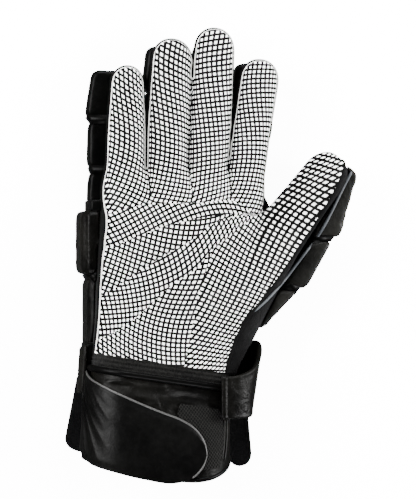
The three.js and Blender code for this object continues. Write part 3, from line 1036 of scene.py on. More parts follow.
@dataclass
class PalmCloth:
    """The white palm cloth: its seam, its folds and the maps of its grid."""

    form: HandForm
    seam_finger: float = 22.5
    seam_palm: float = 35.0
    seam_thumb: float = 19.0
    line_shares: Pair = (0.54, 0.46)
    thumb_edge: Outline = (
        (-6, -96),
        (-4, -90),
        (3, -69),
        (14, -41.7),
        (35, -16.5),
        (52, 6.3),
        (69.5, 31),
        (81, 54.3),
        (90, 78),
        (96, 92),
    )
    folds: tuple[Fold, ...] = (
        Fold(
            0.7,
            (
                (-73, 21), (-66, 24), (-55.8, 27.3), (-44.7, 29.8), (-34.2, 30.6), (-16, 31.2), (-4, 31.8),
                (8, 33.5), (16.5, 30.5), (23, 25.5), (27, 24.6), (33, 27), (40, 33),
            ),
        ),
        Fold(
            1.7,
            (
                (-75, 1.5), (-69, 3.3), (-54.5, 8.6), (-38.5, 14.6), (-19.6, 20.2), (-4, 23.2), (8, 24.6),
                (18, 24.9), (27, 24.5), (33, 27), (40, 33),
            ),
        ),
        Fold(
            1.8,
            (
                (-75, -28), (-70, -24.6), (-57, -15.8), (-43.5, -6.8), (-29.4, 1.4), (-14.5, 9.4), (-6, 16),
                (2, 20.6), (12, 23.2), (20, 24.4), (27, 24.4), (33, 27), (40, 33),
            ),
        ),
        Fold(
            1.6,
            (
                (-75, -52), (-68, -47.9), (-53.6, -39.3), (-43.8, -31.5), (-28, -17.7), (-12, -7.2),
                (-3.3, 3), (8.8, 11.8), (20, 20), (27, 24.3), (33, 27), (40, 33),
            ),
        ),
    )
    ball: Fold = Fold(
        1.3, ((-2.5, 3.5), (-8.3, -13.2), (-11.3, -21), (-15, -37.5), (-18.5, -51), (-21.5, -66), (-24, -80))
    )
    fields: dict[str, Field] = field(
        default_factory=lambda: {
            "little": Field(
                (-51.48, 65.60),
                0,
                (-0.32, 9.62, -0.68, 2.1, 0.79, 2.27, -0.15, 0.32, 0.26, -0.51, -0.12, -0.28),
                (0.14, -4.3, -9.71, -0.7, -0.58, 0.07, 0.15, -0.22, -0.44, 0.14, 0.03, 0.06),
            ),
            "ring": Field(
                (-25.16, 74.60),
                0,
                (0.44, 10.71, 0.61, 3.07, 0.22, 1.06, -0.45, 0.68, -0.32, -0.61, -0.25, -0.07),
                (0.4, -2.73, -9.89, 0.48, -0.92, 0.43, 0.09, 0.29, -0.02, 0.04, 0.05, 0.02),
            ),
            "middle": Field(
                (1.00, 80.80),
                0,
                (0.3, 10.43, 1.17, 0.9, -0.84, 0.45, -0.79, -1.06, 0.02, -0.51, 0.01, -0.04),
                (-0.23, 1.18, -10.23, 0.32, -0.17, 0.4, -0.07, -0.04, 0.61, -0.09, -0.24, 0.02),
            ),
            "index": Field(
                (25.80, 70.40),
                0,
                (-0.46, 10.87, 0.36, 2.67, -1.23, 1.64, -0.32, -0.57, 0, -0.85, 0.22, -0.2),
                (-0.38, 0.24, -10.66, -1.21, 1.25, 0.25, 0.05, 0.42, -0.49, 0, -0.21, -0.03),
            ),
            "band_1": Field(
                (-27.33, 22.42),
                0,
                (0.05, 9.11, 4.69, 0.19, -0.01, 0.26, 0.16, 0.33, 0.15, -0.02, 0.01, 0.05),
                (-0.16, 4.55, -9.44, -1.04, 0.16, -0.49, -0.62, -0.21, -0.25, -0.17, 0.1, 0.03),
            ),
            "band_2": Field(
                (-36.00, 5.80),
                0,
                (-0.4, 9.48, -2.34, -0.53, 1.28, -0.62, 0.38, 0.03, -0.24, -0.64, -0.3, -0.09),
                (-0.05, -2.61, -10.08, 1.61, -0.01, 0.27, 0.38, 0.06, -0.14, -0.2, -0.14, -0.08),
            ),
            "band_3": Field(
                (-26.86, -7.86),
                0,
                (-0.55, 9.34, 2.04, -0.41, -0.25, 1.12, 0.24, 0.48, 0.22, -0.27, -0.5, 0.28),
                (-0.11, 4.98, -9.1, 1.59, 2.54, 0.36, 0.22, 0.2, 0.06, -0.35, -0.81, -0.02),
            ),
            "heel": Field(
                (-36.00, -42.50),
                0,
                (0.36, 10.06, -2.27, -0.8, -0.72, -2.52, 0.53, -0.25, 0.24, 0.23, 0.28, 0.54),
                (0.36, -2.58, -10.64, 2.56, -0.28, 0.43, -0.28, 0.01, 0.47, -0.06, -0.35, 0.05),
            ),
            "thumb": Field(
                (20.09, 17.66),
                35,
                (-0.22, 9.19, 1.22, -2.12, 0.11, -0.77, 0.61, -2.77, 0.94, -0.41, 0.2, 0.01),
                (-0.36, 0.82, -9.97, 1.17, -1, 0.77, 0.56, 0.13, 0.4, 0.05, 0.08, -0.06),
            ),
        }
    )
    webs: tuple[float, ...] = (-38.8, -13.2, 11.0)
    pitch: float = 2.8
    cleft_depths: tuple[float, ...] = (3.6, 1.6, 3.6)
    cleft_reach: float = 1.9

    def __post_init__(self) -> None:
        """Fit the lines and the pattern maps."""
        self.edge = Course(self.thumb_edge, space=2)
        self.lines = [fold.line() for fold in self.folds]
        self.ball_line = self.ball.line()
        self.shift = {FINGERS[0]: (0, 0)}
        for left, right, web in zip(FINGERS, FINGERS[1:], self.webs):
            a, b = self.fields[left].at(web, 32), self.fields[right].at(web, 32)
            base = self.shift[left]
            self.shift[right] = (base[0] + round(a[0] - b[0]), base[1] + round(a[1] - b[1]))
        self.axes = {name: self.form.digits[name] for name in FINGERS}

    def seam_height(self, x: float, y: float) -> float:
        """Height of the seam between the palm cloth and the back."""
        level = mix(self.seam_palm, self.seam_finger, smoothstep(y, 15, 50))
        return mix(level, self.seam_thumb, smoothstep(self.beyond_web(x, y), -6, 8))

    def beyond_web(self, x: float, y: float) -> float:
        """How far a point lies on the thumb's side of the web."""
        return (x - 31) * 0.9 - (y - 26) * 0.45

    def edge_x(self, y: float) -> float:
        """Right edge of the palm cloth, along the thumb."""
        return float(self.edge.by(1, y)[0])

    def fold_heights(self, x: float, y: float) -> list[float]:
        """How far a point lies above each fold, in the plan."""
        return [y - float(line.by(0, min(max(x, -74.9), 39.9))[1]) for line in self.lines]

    def beyond_ball(self, x: float, y: float) -> float:
        """How far a point lies to the right of the fold at the ball of the thumb."""
        return x - float(self.ball_line.by(1, min(max(y, -80), 3.5))[0])

    def dent(self, x: float, y: float) -> float:
        """Depth of the folds at a point of the plan.

        Args:
            x: Place across.
            y: Place along the hand.

        Returns:
            The depth.
        """
        depth = 0.0
        heights = self.fold_heights(x, y)
        fade = smoothstep(x, -76, -62) * (1 - smoothstep(x, 24, 36))
        for fold, above in zip(self.folds, heights):
            reach = 5.5 if above > 0 else 2.6
            away = abs(above) * 0.9 / reach
            if away < 1:
                depth = max(depth, fold.depth * fade * (1 - away) ** 2)
        if heights[3] < 4:
            side = self.beyond_ball(x, y)
            away = abs(side) / (5.0 if side > 0 else 3.0)
            if away < 1:
                depth = max(depth, self.ball.depth * (1 - away) ** 2 * smoothstep(-heights[3], -4, 3))
        return depth

    def cleft(self, x: float, y: float) -> float:
        """Depth of the creases between neighbouring fingers at a point of the plan.

        Args:
            x: Place across.
            y: Place along the hand.

        Returns:
            The depth.
        """
        depths = [
            depth * max(0.0, 1 - abs(x - self.gap(i, y)) / self.cleft_reach) ** 1.5
            for i, depth in enumerate(self.cleft_depths)
        ]
        return max(depths) * smoothstep(y, 33, 40)

    def on_thumb(self, x: float, y: float) -> bool:
        """Whether a point of the seam is on the thumb or on the thumb's edge of the palm."""
        return (self.beyond_web(x, y) > 0 and x > 26) or x > self.edge_x(y) - 2.5

    def gap(self, index: int, y: float) -> float:
        """Plan place, across, of the gap between a finger and the next one.

        Args:
            index: Number of the gap, from the little finger.
            y: Place along the hand.

        Returns:
            The place across.
        """
        left, right = (self.axes[name].by(1, min(max(y, 30), 136)) for name in FINGERS[index : index + 2])
        between = (left[0] + left[3] / 2 + right[0] - right[3] / 2) / 2
        return mix(self.webs[index], between, smoothstep(y, 30, 50))

    def finger_map(self, x: float, y: float) -> Pair:
        """Pattern of the fingers and of the palm above the first fold.

        Args:
            x: Place across.
            y: Place along the hand.

        Returns:
            Columns and rows, in cells.
        """
        width = mix(5.0, 0.2, smoothstep(y, 24, 40))
        gaps = [self.gap(i, y) for i in range(3)]
        total = [0.0, 0.0]
        for i, name in enumerate(FINGERS):
            low = smoothstep(x, gaps[i - 1] - width, gaps[i - 1] + width) if i else 1.0
            high = 1 - smoothstep(x, gaps[i] - width, gaps[i] + width) if i < 3 else 1.0
            share = low * high
            if share <= 0:
                continue
            centre = self.axes[name].by(1, min(max(y, 28), 136))
            half = centre[3] / 2
            reach = (x - centre[0]) / half
            off = min(max(reach, -0.995), 0.995)
            inner = min(max(off, -0.9), 0.9)
            lift = smoothstep(y, 30, 55)
            u, v = self.fields[name].at(centre[0] + half * mix(inner, math.asin(inner), lift), y)
            past = mix(off - inner, math.asin(off) - math.asin(inner), lift)
            u += half * (reach - off + past) / self.pitch
            total[0] += share * (u + self.shift[name][0])
            total[1] += share * (v + self.shift[name][1])
        return total[0], total[1]

    def pattern(self, x: float, y: float) -> dict[str, Pair]:
        """All three pattern coordinates at a point of the plan.

        Args:
            x: Place across.
            y: Place along the hand.

        Returns:
            Columns and rows, by the name of the map.
        """
        h = self.fold_heights(x, y)
        if h[0] + h[1] > 0:
            even = self.finger_map(x, y)
        elif h[2] + h[3] > 0:
            even = self.fields["band_2"].at(x, y)
        else:
            even = self.fields["heel"].at(x, y)
        odd = self.fields["band_1" if h[1] + h[2] > 0 else "band_3"].at(x, y)
        thumb = self.fields["thumb"].at(x, y)
        return {Pattern.EVEN.value: even, Pattern.ODD.value: odd, Pattern.THUMB.value: thumb}

    def sides(self, x: float, y: float) -> Pair:
        """Signed distances that tell the bands apart.

        Args:
            x: Place across.
            y: Place along the hand.

        Returns:
            The distance that tells the bands apart, and the one above 0 on the thumb's side.
        """
        h = self.fold_heights(x, y)
        nearest = min(abs(value) for value in h)
        passed = sum(value < 0 for value in h)
        band = nearest if passed % 2 == 0 else -nearest
        return band, max(min(-h[3], self.beyond_ball(x, y)), min(self.beyond_web(x, y), x - 26))

    def dress(self, obj: bpy.types.Object) -> None:
        """Write the pattern maps and the band attributes on the palm's mesh, in millimetres.

        Args:
            obj: The palm cloth.
        """
        mesh = obj.data
        count = len(mesh.vertices)
        band, thumb, width = (np.zeros(count, np.float32) for _ in range(3))
        places = {p.value: np.zeros((count, 2), np.float32) for p in Pattern}
        for i, vert in enumerate(mesh.vertices):
            x, y, z = vert.co
            band[i], thumb[i] = self.sides(x, y)
            for name, place in self.pattern(x, y).items():
                places[name][i] = place
            width[i] = mix(*self.line_shares, smoothstep(vert.normal.z, 0.35, 0.95))
        for name, values in (("band_side", band), ("thumb_side", thumb), ("line_share", width)):
            mesh.attributes.new(name, "FLOAT", "POINT").data.foreach_set("value", values)
        corners = np.zeros(len(mesh.loops), np.int32)
        mesh.loops.foreach_get("vertex_index", corners)
        for name, values in places.items():
            mesh.uv_layers.new(name=name).data.foreach_set("uv", values[corners].ravel())


@dataclass
class ClothHand:
    """Palm cloth, back and stalls, cut from one skin along their seams."""

    form: HandForm
    palm: PalmCloth
    web_line: float = 30.0
    crease_radii: tuple[float, ...] = (0.65, 0.35, 0.65)
    piping_radius: float = 0.45
    piping_up: float = 0.8
    piping_in: float = 0.3
    welt_radius: float = 1.25
    welt_down: float = 0.6

    def cut(self, bm: Mesh, shear: Callable[[Vector], Vector], normal: Vector) -> None:
        """Cut the skin along a bent surface.

        Args:
            bm: The skin.
            shear: Offset that makes the surface a plane through the origin.
            normal: Normal of that plane.
        """
        for vert in bm.verts:
            vert.co -= shear(vert.co)
        bmesh.ops.bisect_plane(bm, geom=all_of(bm), dist=0.05, plane_co=(0, 0, 0), plane_no=normal)
        for vert in bm.verts:
            vert.co += shear(vert.co)

    def build(self, wear: Wardrobe) -> BVHTree:
        """Build and dress the cloth pieces.

        Args:
            wear: The glove's finishes.

        Returns:
            The skin, for what lies on it, in millimetres.
        """
        bm = self.form.skin()
        palm = self.palm
        bmesh.ops.bisect_plane(
            bm,
            geom=all_of(bm),
            dist=0.01,
            plane_co=(WRIST_X, WRIST_Y, 0),
            plane_no=(WRIST_SLOPE, -1.0, 0),
            clear_outer=True,
        )
        bm.normal_update()
        for vert in bm.verts:
            x, y, z = vert.co
            facing = smoothstep(vert.normal.z, 0.2, 0.75)
            loose = wrinkle(vert.co, (16, 22, 30), 3.1) * 0.45 + wrinkle(vert.co, (7, 9, 12), 8.7) * 0.12
            vert.co += vert.normal * (loose - facing * palm.dent(x, y))
            if z > palm.seam_finger and y > 33:
                vert.co.z -= palm.cleft(x, y)
        soften(bm, 0.35)
        tree = BVHTree.FromBMesh(bm)
        # Each cut shears only along the axis that its plane stands on, so the way back reads the same offset.
        self.cut(bm, lambda p: Vector((0, 0, palm.seam_height(p.x, p.y))), Vector((0, 0, 1)))
        self.cut(bm, lambda p: Vector((palm.edge_x(p.y), 0, 0)), Vector((1, 0, 0)))
        mark = bm.faces.layers.int.new("part")
        for face in bm.faces:
            face[mark] = self.part_of(face.calc_center_median())
        labels = ["hand_back", "palm_panel"] + [f"{name}_stall" for name in FINGERS] + ["thumb_stall"]
        for index, label in enumerate(labels):
            piece = bm.copy()
            layer = piece.faces.layers.int["part"]
            bmesh.ops.delete(piece, geom=[f for f in piece.faces if f[layer] != index], context="FACES")
            for face in piece.faces:
                x, y, _ = face.calc_center_median()
                face.material_index = int(index == 0 and y < -36 and x > palm.edge_x(y) + 2.5)
            obj = object_from(piece, f"{label}_cloth")
            if index == 1:
                palm.dress(obj)
                self.pipe(obj, wear)
                finish(obj, [label], [wear.grid], Slot.GRIP)
            else:
                finish(obj, [label], [wear.knit, wear.gloss], Slot.CLOTH)
            wall(obj, CLOTH * MM)
        bm.free()
        self.creases(tree, wear)
        return tree

    def part_of(self, centre: Vector) -> int:
        """Number of the piece that a face of the skin belongs to.

        Args:
            centre: Middle of the face.

        Returns:
            0 for the back, 1 for the palm, 2 to 5 for the fingers' stalls and 6 for the thumb's.
        """
        x, y, z = centre
        palm = self.palm
        if z > palm.seam_height(x, y) and x < palm.edge_x(y):
            return 1
        if palm.beyond_web(x, y) > 2 and x > 26:
            return 6
        if y > self.web_line:
            return 2 + sum(x > palm.gap(i, y) for i in range(3))
        return 0

    def creases(self, tree: BVHTree, wear: Wardrobe) -> None:
        """Lay black cords at the bottom of the creases between the fingers: partly the black side walls
        there, partly painted shadow in the creases.

        Args:
            tree: The skin.
            wear: The glove's finishes.
        """
        cords = []
        for i, radius in enumerate(self.crease_radii):
            points = []
            for y in np.arange(35.0, 130.0, 1.2):
                x = self.palm.gap(i, y)
                spot = tree.ray_cast(Vector((x, y, 80.0)), Vector((0, 0, -1)))[0]
                if spot is None or spot.z < 16:
                    break
                points.append((x, y, spot.z - 0.1))
            if len(points) > 4:
                cords.append(cord_mesh(relaxed(np.array(points), 3), radius, 8))
        finish(object_from(joined(cords), "finger_crease_walls_and_shadow"), [], [wear.thread], Slot.CLOTH)

    def pipe(self, obj: bpy.types.Object, wear: Wardrobe) -> None:
        """Lay white piping along the seam of the palm cloth, over a black welt.

        Args:
            obj: The palm cloth, in millimetres.
            wear: The glove's finishes.
        """
        bm = bmesh.new()
        bm.from_mesh(obj.data)
        runs = boundary_runs(bm)
        bm.free()
        cords, welts = [], []
        for run in runs:
            if len(run) < 60:
                continue
            start = int(np.argmin(run[:, 1]))
            ring = np.concatenate([run[start:], run[: start + 1]])
            above = ring[:, 1] > WRIST_Y + WRIST_SLOPE * (ring[:, 0] - WRIST_X) + 0.8
            keep = np.flatnonzero(above)
            path = relaxed(evened(ring[keep[0] : keep[-1] + 1], 1.4), 3)
            welts.append(cord_mesh(path - np.array([0.0, 0.0, self.welt_down]), self.welt_radius, sides=10))
            ahead = np.gradient(path[:, :2], axis=0)
            area = float(np.sum(path[:, 0] * ahead[:, 1] - path[:, 1] * ahead[:, 0]))
            inward = np.column_stack([-ahead[:, 1], ahead[:, 0]]) / np.linalg.norm(ahead, axis=1)[:, None]
            inward *= math.copysign(self.piping_in, area)
            laid = path + np.column_stack([inward, np.full(len(path), self.piping_up)])
            bare = np.array([self.palm.on_thumb(x, y) for x, y, _ in path])
            turns = np.flatnonzero(np.diff(bare)) + 1
            for stretch, plain in zip(np.split(laid, turns), np.split(bare, turns)):
                if len(stretch) > 4 and not plain[0]:
                    cords.append(cord_mesh(stretch, self.piping_radius, sides=8))
        finish(object_from(joined(cords), "palm_seam_piping"), [], [wear.piping], Slot.GRIP)
        finish(object_from(joined(welts), "palm_seam_welt"), [], [wear.thread], Slot.CLOTH)


def boundary_runs(bm: Mesh) -> list[np.ndarray]:
    """The open edges of a mesh as closed runs of points.

    Args:
        bm: The mesh.

    Returns:
        The points of each run, in the order of the mesh's edges.
    """
    free = dict.fromkeys(e for e in bm.edges if e.is_boundary)
    runs = []
    while free:
        edge = next(iter(free))
        del free[edge]
        start, here = edge.verts
        run = [start.co.copy(), here.co.copy()]
        while here != start:
            onward = next((e for e in here.link_edges if e in free), None)
            if onward is None:
                break
            del free[onward]
            here = onward.other_vert(here)
            run.append(here.co.copy())
        runs.append(np.array(run))
    return runs


# Pads


@dataclass(frozen=True)
class Hinge:
    """Leather that fills the groove between two neighbouring pads."""

    first: str
    second: str
    reach: float = 3.2
    inset: float = 0.7

    def strip(self) -> Mesh:
        """The strip, as a hull of the pads' facing ends, in millimetres of the row frame.

        Returns:
            The mesh.
        """
        pads = [[v.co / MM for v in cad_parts[name].data.vertices] for name in (self.first, self.second)]
        ends = []
        for here, there in (pads, pads[::-1]):
            ends += [p for p in here if min((p - q).length for q in there) < self.reach]
        middle = sum(ends, Vector()) / len(ends)
        bm = bmesh.new()
        for point in ends:
            off = point - middle
            bmesh.ops.create_vert(bm, co=middle + off * max(0.3, 1 - self.inset / max(off.length, 0.1)))
        bmesh.ops.convex_hull(bm, input=bm.verts)
        bmesh.ops.delete(bm, geom=[v for v in bm.verts if not v.link_faces], context="VERTS")
        bmesh.ops.recalc_face_normals(bm, faces=bm.faces)
        return bm


@dataclass
class FoamPads:
    """Leather-covered foam segments, swollen from the CAD's blocks."""

    voxel: float = 0.0015
    pressure: float = 4.0
    shrink: float = 0.0004
    cap: float = 0.0012
    frames: int = 20
    hinge_reach: float = 5.0
    rows: tuple[tuple[str, int, float], ...] = (
        ("little", 2, 0.25),
        ("ring", 3, 0.7),
        ("middle", 3, 0.7),
        ("index", 3, 0.7),
        ("thumb", 3, 0.7),
    )
    gussets: tuple[tuple[Triple, Triple], ...] = (
        ((-69.6, 29.6, 17.0), (7.4, 7.0, 22.0)),
        ((-73.6, -57.6, 20.0), (5.2, 12.0, 20.0)),
    )
    binding_radius: float = 0.95
    binding: tuple[Triple, ...] = (
        (87.3, 51.5, 33.0),
        (82.7, 43.0, 32.6),
        (78.1, 34.3, 33.0),
        (73.7, 25.6, 33.0),
        (69.0, 17.1, 32.9),
        (64.1, 9.0, 31.3),
        (57.4, 1.5, 32.9),
        (51.6, -6.1, 32.2),
        (45.4, -13.8, 32.6),
        (36.6, -20.8, 40.9),
        (28.7, -27.5, 44.9),
        (20.6, -33.5, 47.5),
    )

    def nodes(self) -> list[str]:
        """Names of the pads' nodes."""
        return sorted(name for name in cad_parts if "_pad" in name)

    def block(self, node: str) -> bpy.types.Object:
        """A pad's block as a fine, slightly smaller mesh, in metres.

        Args:
            node: The pad's node.

        Returns:
            The object.
        """
        bm = bmesh.new()
        bm.from_mesh(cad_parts[node].data)
        bmesh.ops.remove_doubles(bm, verts=bm.verts, dist=1e-6)
        bmesh.ops.recalc_face_normals(bm, faces=bm.faces)
        bm.normal_update()
        obj = object_from(bm, f"{node}_leather")
        remesh = obj.modifiers.new("remesh", "REMESH")
        remesh.mode = "VOXEL"
        remesh.voxel_size = self.voxel
        settled(obj)
        bm = bmesh.new()
        bm.from_mesh(obj.data)
        for _ in range(2):
            soften(bm, 0.5)
        bm.normal_update()
        for vert in bm.verts:
            vert.co -= vert.normal * self.shrink
        for face in bm.faces:
            face.smooth = True
        bm.to_mesh(obj.data)
        bm.free()
        return obj

    def swell(self, obj: bpy.types.Object) -> None:
        """Blow a pad up a little with Blender's cloth, and keep every point near its start.

        Args:
            obj: The pad.
        """
        before = np.zeros(len(obj.data.vertices) * 3)
        obj.data.vertices.foreach_get("co", before)
        cloth = obj.modifiers.new("cloth", "CLOTH")
        cloth.settings.use_pressure = True
        cloth.settings.uniform_pressure_force = self.pressure
        cloth.settings.effector_weights.gravity = 0.0
        cloth.settings.quality = 4
        cloth.settings.tension_stiffness = 25
        cloth.point_cache.frame_start = 1
        cloth.point_cache.frame_end = self.frames
        scene = bpy.context.scene
        for number in range(1, self.frames + 1):
            scene.frame_set(number)
        settled(obj)
        scene.frame_set(1)
        after = np.zeros(len(obj.data.vertices) * 3)
        obj.data.vertices.foreach_get("co", after)
        move = (after - before).reshape(-1, 3)
        far = np.linalg.norm(move, axis=1, keepdims=True)
        move *= np.minimum(1.0, self.cap / np.maximum(far, 1e-9))
        obj.data.vertices.foreach_set("co", (before.reshape(-1, 3) + move).ravel())

    def build(self, wear: Wardrobe) -> None:
        """Build and dress every pad.

        Args:
            wear: The glove's finishes.
        """
        # Thumb pads take the lighter leather with painted light on their faces; side pads take the creased
        # leather.
        covers = {"thumb": wear.lit_leather, "side": wear.creased}
        for node in self.nodes():
            obj = self.block(node)
            self.swell(obj)
            low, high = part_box(node)
            bm = bmesh.new()
            bm.from_mesh(obj.data)
            bm.normal_update()
            for vert in bm.verts:
                here = vert.co / MM
                rise = wrinkle(here, (9, 9, 9), 2.2) * 0.25 + wrinkle(here, (3.5, 3.5, 3.5), 5.5) * 0.1
                vert.co += vert.normal * MM * rise
                if "side" in node:
                    rim = smoothstep(here.x - low.x / MM, 2.6, 3.6)
                    vert.co.z -= MM * 1.6 * (1 - rim) * smoothstep(here.z, 20, 26)
                for axis in range(3):
                    vert.co[axis] = min(max(vert.co[axis], low[axis]), high[axis])
            bm.to_mesh(obj.data)
            bm.free()
            obj.data.transform(ROW_TO_DRAWING)
            finish(obj, [node], [covers.get(node.split("_")[0], wear.leather)], Slot.LEATHER)
            fine = obj.modifiers.new("fine", "SUBSURF")
            fine.levels = fine.render_levels = 1
        self.hinges(wear)
        self.bind(wear)

    def gusset(self, centre: Sequence[float], size: Sequence[float]) -> Mesh:
        """A soft leather block that closes a gap beside the pads, from drawing to row millimetres.

        Args:
            centre: Its middle.
            size: Its size along each axis.

        Returns:
            The mesh.
        """
        bm = bmesh.new()
        bmesh.ops.create_cube(bm, size=1.0)
        bmesh.ops.scale(bm, vec=size, verts=bm.verts)
        bmesh.ops.bevel(
            bm,
            geom=bm.edges[:],
            offset=1.2,
            affect="EDGES",
            segments=3,
            profile=0.5,
            material=-1,
        )
        bmesh.ops.translate(bm, vec=Vector(centre) + SHIFT, verts=bm.verts)
        return bm

    def bind(self, wear: Wardrobe) -> None:
        """Lay the grey binding where the thumb's pads are sewn to the cloth.

        Args:
            wear: The glove's finishes.
        """
        line = Course([(x, y, z + 0.3) for x, y, z in self.binding])
        path = np.array([line.at(d) for d in np.linspace(0, line.length, 110)])
        cord = object_from(cord_mesh(path, self.binding_radius, 10, flat=0.8), "thumb_seam_binding")
        finish(cord, [], [wear.binding], Slot.LEATHER)

    def hinges(self, wear: Wardrobe) -> None:
        """Close the grooves between the pads with leather.

        Args:
            wear: The glove's finishes.
        """
        strips = []
        for name, count, inset in self.rows:
            row = [f"{name}_pad_{i + 1}" for i in range(count)]
            row += [f"{name}_knuckle_pad"] if name in FINGERS else []
            strips += [Hinge(a, b, self.hinge_reach, inset) for a, b in zip(row, row[1:])]
        strips.append(Hinge("back_pad_1", "back_pad_2"))
        strips.append(Hinge("side_pad_1", "side_pad_2", self.hinge_reach, inset=0.3))
        bm = joined([strip.strip() for strip in strips] + [self.gusset(*block) for block in self.gussets])
        bmesh.ops.scale(bm, vec=(MM, MM, MM), verts=bm.verts)
        obj = object_from(bm, "pad_hinge_strips")
        obj.data.transform(ROW_TO_DRAWING)
        finish(obj, [], [wear.leather], Slot.LEATHER)


# Cuff


@dataclass
class CuffForm:
    """Surface of the wrist and cuff, whose sections slant across the hand."""

    form: HandForm
    rim: Outline = (
        (-100, -110),
        (-86, -115.5),
        (-78, -119.5),
        (-60, -125),
        (-30, -130.5),
        (-14, -131.6),
        (-2, -129.4),
        (5, -126),
        (10, -120),
        (16, -110),
    )

    def __post_init__(self) -> None:
        """Fit the rim."""
        self.rim_line = Course(self.rim, space=2)

    def ring(self, turn: float, along: float, out: float = 0.0) -> Vector:
        """Point of a slanting section.

        Args:
            turn: Share of the way round from the middle of the top.
            along: Place of the section, at the left edge of the wrist.
            out: Distance outwards from the skin.

        Returns:
            The point.
        """
        left = self.form.section(along)[0] - out
        right = self.form.section(along + WRIST_SLOPE * WRIST_SPAN)[1] + out
        top, corner = self.form.section(along + WRIST_SLOPE * WRIST_SPAN / 2)[2:4]
        x, z = rounded_point(right - left, top - SHELL_Z + 2 * out, corner + out, turn, WIDE_ROUND)
        x += (left + right) / 2
        return Vector((x, along + WRIST_SLOPE * (x - WRIST_X), (top + SHELL_Z) / 2 + z))

    def rim_along(self, turn: float) -> float:
        """Section whose point at a turn lies on the rim.

        Args:
            turn: Share of the way round.

        Returns:
            Place of the section.
        """
        x = self.ring(turn, -120.0).x
        y = float(self.rim_line.by(0, min(max(x, -99), 15))[1])
        return y - WRIST_SLOPE * (x - WRIST_X)

    def turn_at(self, unrolled: float, along: float) -> float:
        """Turn of a point whose place across is given on the unrolled front.

        Args:
            unrolled: Place across, which goes on round the left corner at the same pace.
            along: Place of the section.

        Returns:
            The turn.
        """
        left = self.form.section(along)[0]
        right = self.form.section(along + WRIST_SLOPE * WRIST_SPAN)[1]
        top, corner = self.form.section(along + WRIST_SLOPE * WRIST_SPAN / 2)[2:4]
        r = min(corner, (top - SHELL_Z) * 0.49)
        middle = (left + right) / 2
        s = WIDE_ROUND
        half = (right - left) / 2 - r
        off = unrolled - middle
        if abs(off) <= half:
            part = s.half_top * abs(off) / half
        else:
            part = s.half_top + s.corner * (abs(off) - half) / (r * math.pi / 2)
        return part if off >= 0 else 1 - part

    def on_front(self, unrolled: float, y: float, out: float) -> Vector:
        """Point at a plan place on the front of the cuff, with a distance outwards."""
        along = y - WRIST_SLOPE * (max(unrolled, -78.0) - WRIST_X)
        return self.ring(self.turn_at(unrolled, along), along, out)


@dataclass
class WristBand:
    """Ribbed elastic between the palm cloth and the cuff."""

    cuff: CuffForm
    start: float = -68.1
    end: float = -57.6
    thickness: float = 1.6
    ribs: int = 4
    rib_height: float = 0.55
    crimps: int = 150

    def build(self, wear: Wardrobe) -> None:
        """Build and dress the band.

        Args:
            wear: The glove's finishes.
        """

        def place(s: float, t: float) -> Vector:
            """Point of the ribbed skin.

            Args:
                s: Share of the way round.
                t: Share of the way along.

            Returns:
                The point.
            """
            rib = self.rib_height * math.cos(math.pi * self.ribs * t) ** 2
            crimp = 0.22 * math.sin(s * 2 * math.pi * self.crimps) * (1 - rib)
            return self.cuff.ring(s, mix(self.start, self.end, t), -0.5 + rib + crimp * 0.6)

        bm = wrap_grid(600, 36, place)
        bmesh.ops.recalc_face_normals(bm, faces=bm.faces)
        obj = object_from(bm, "wrist_band_rib")
        finish(obj, ["wrist_band"], [wear.rib], Slot.ELASTIC)
        wall(obj, self.thickness * MM)


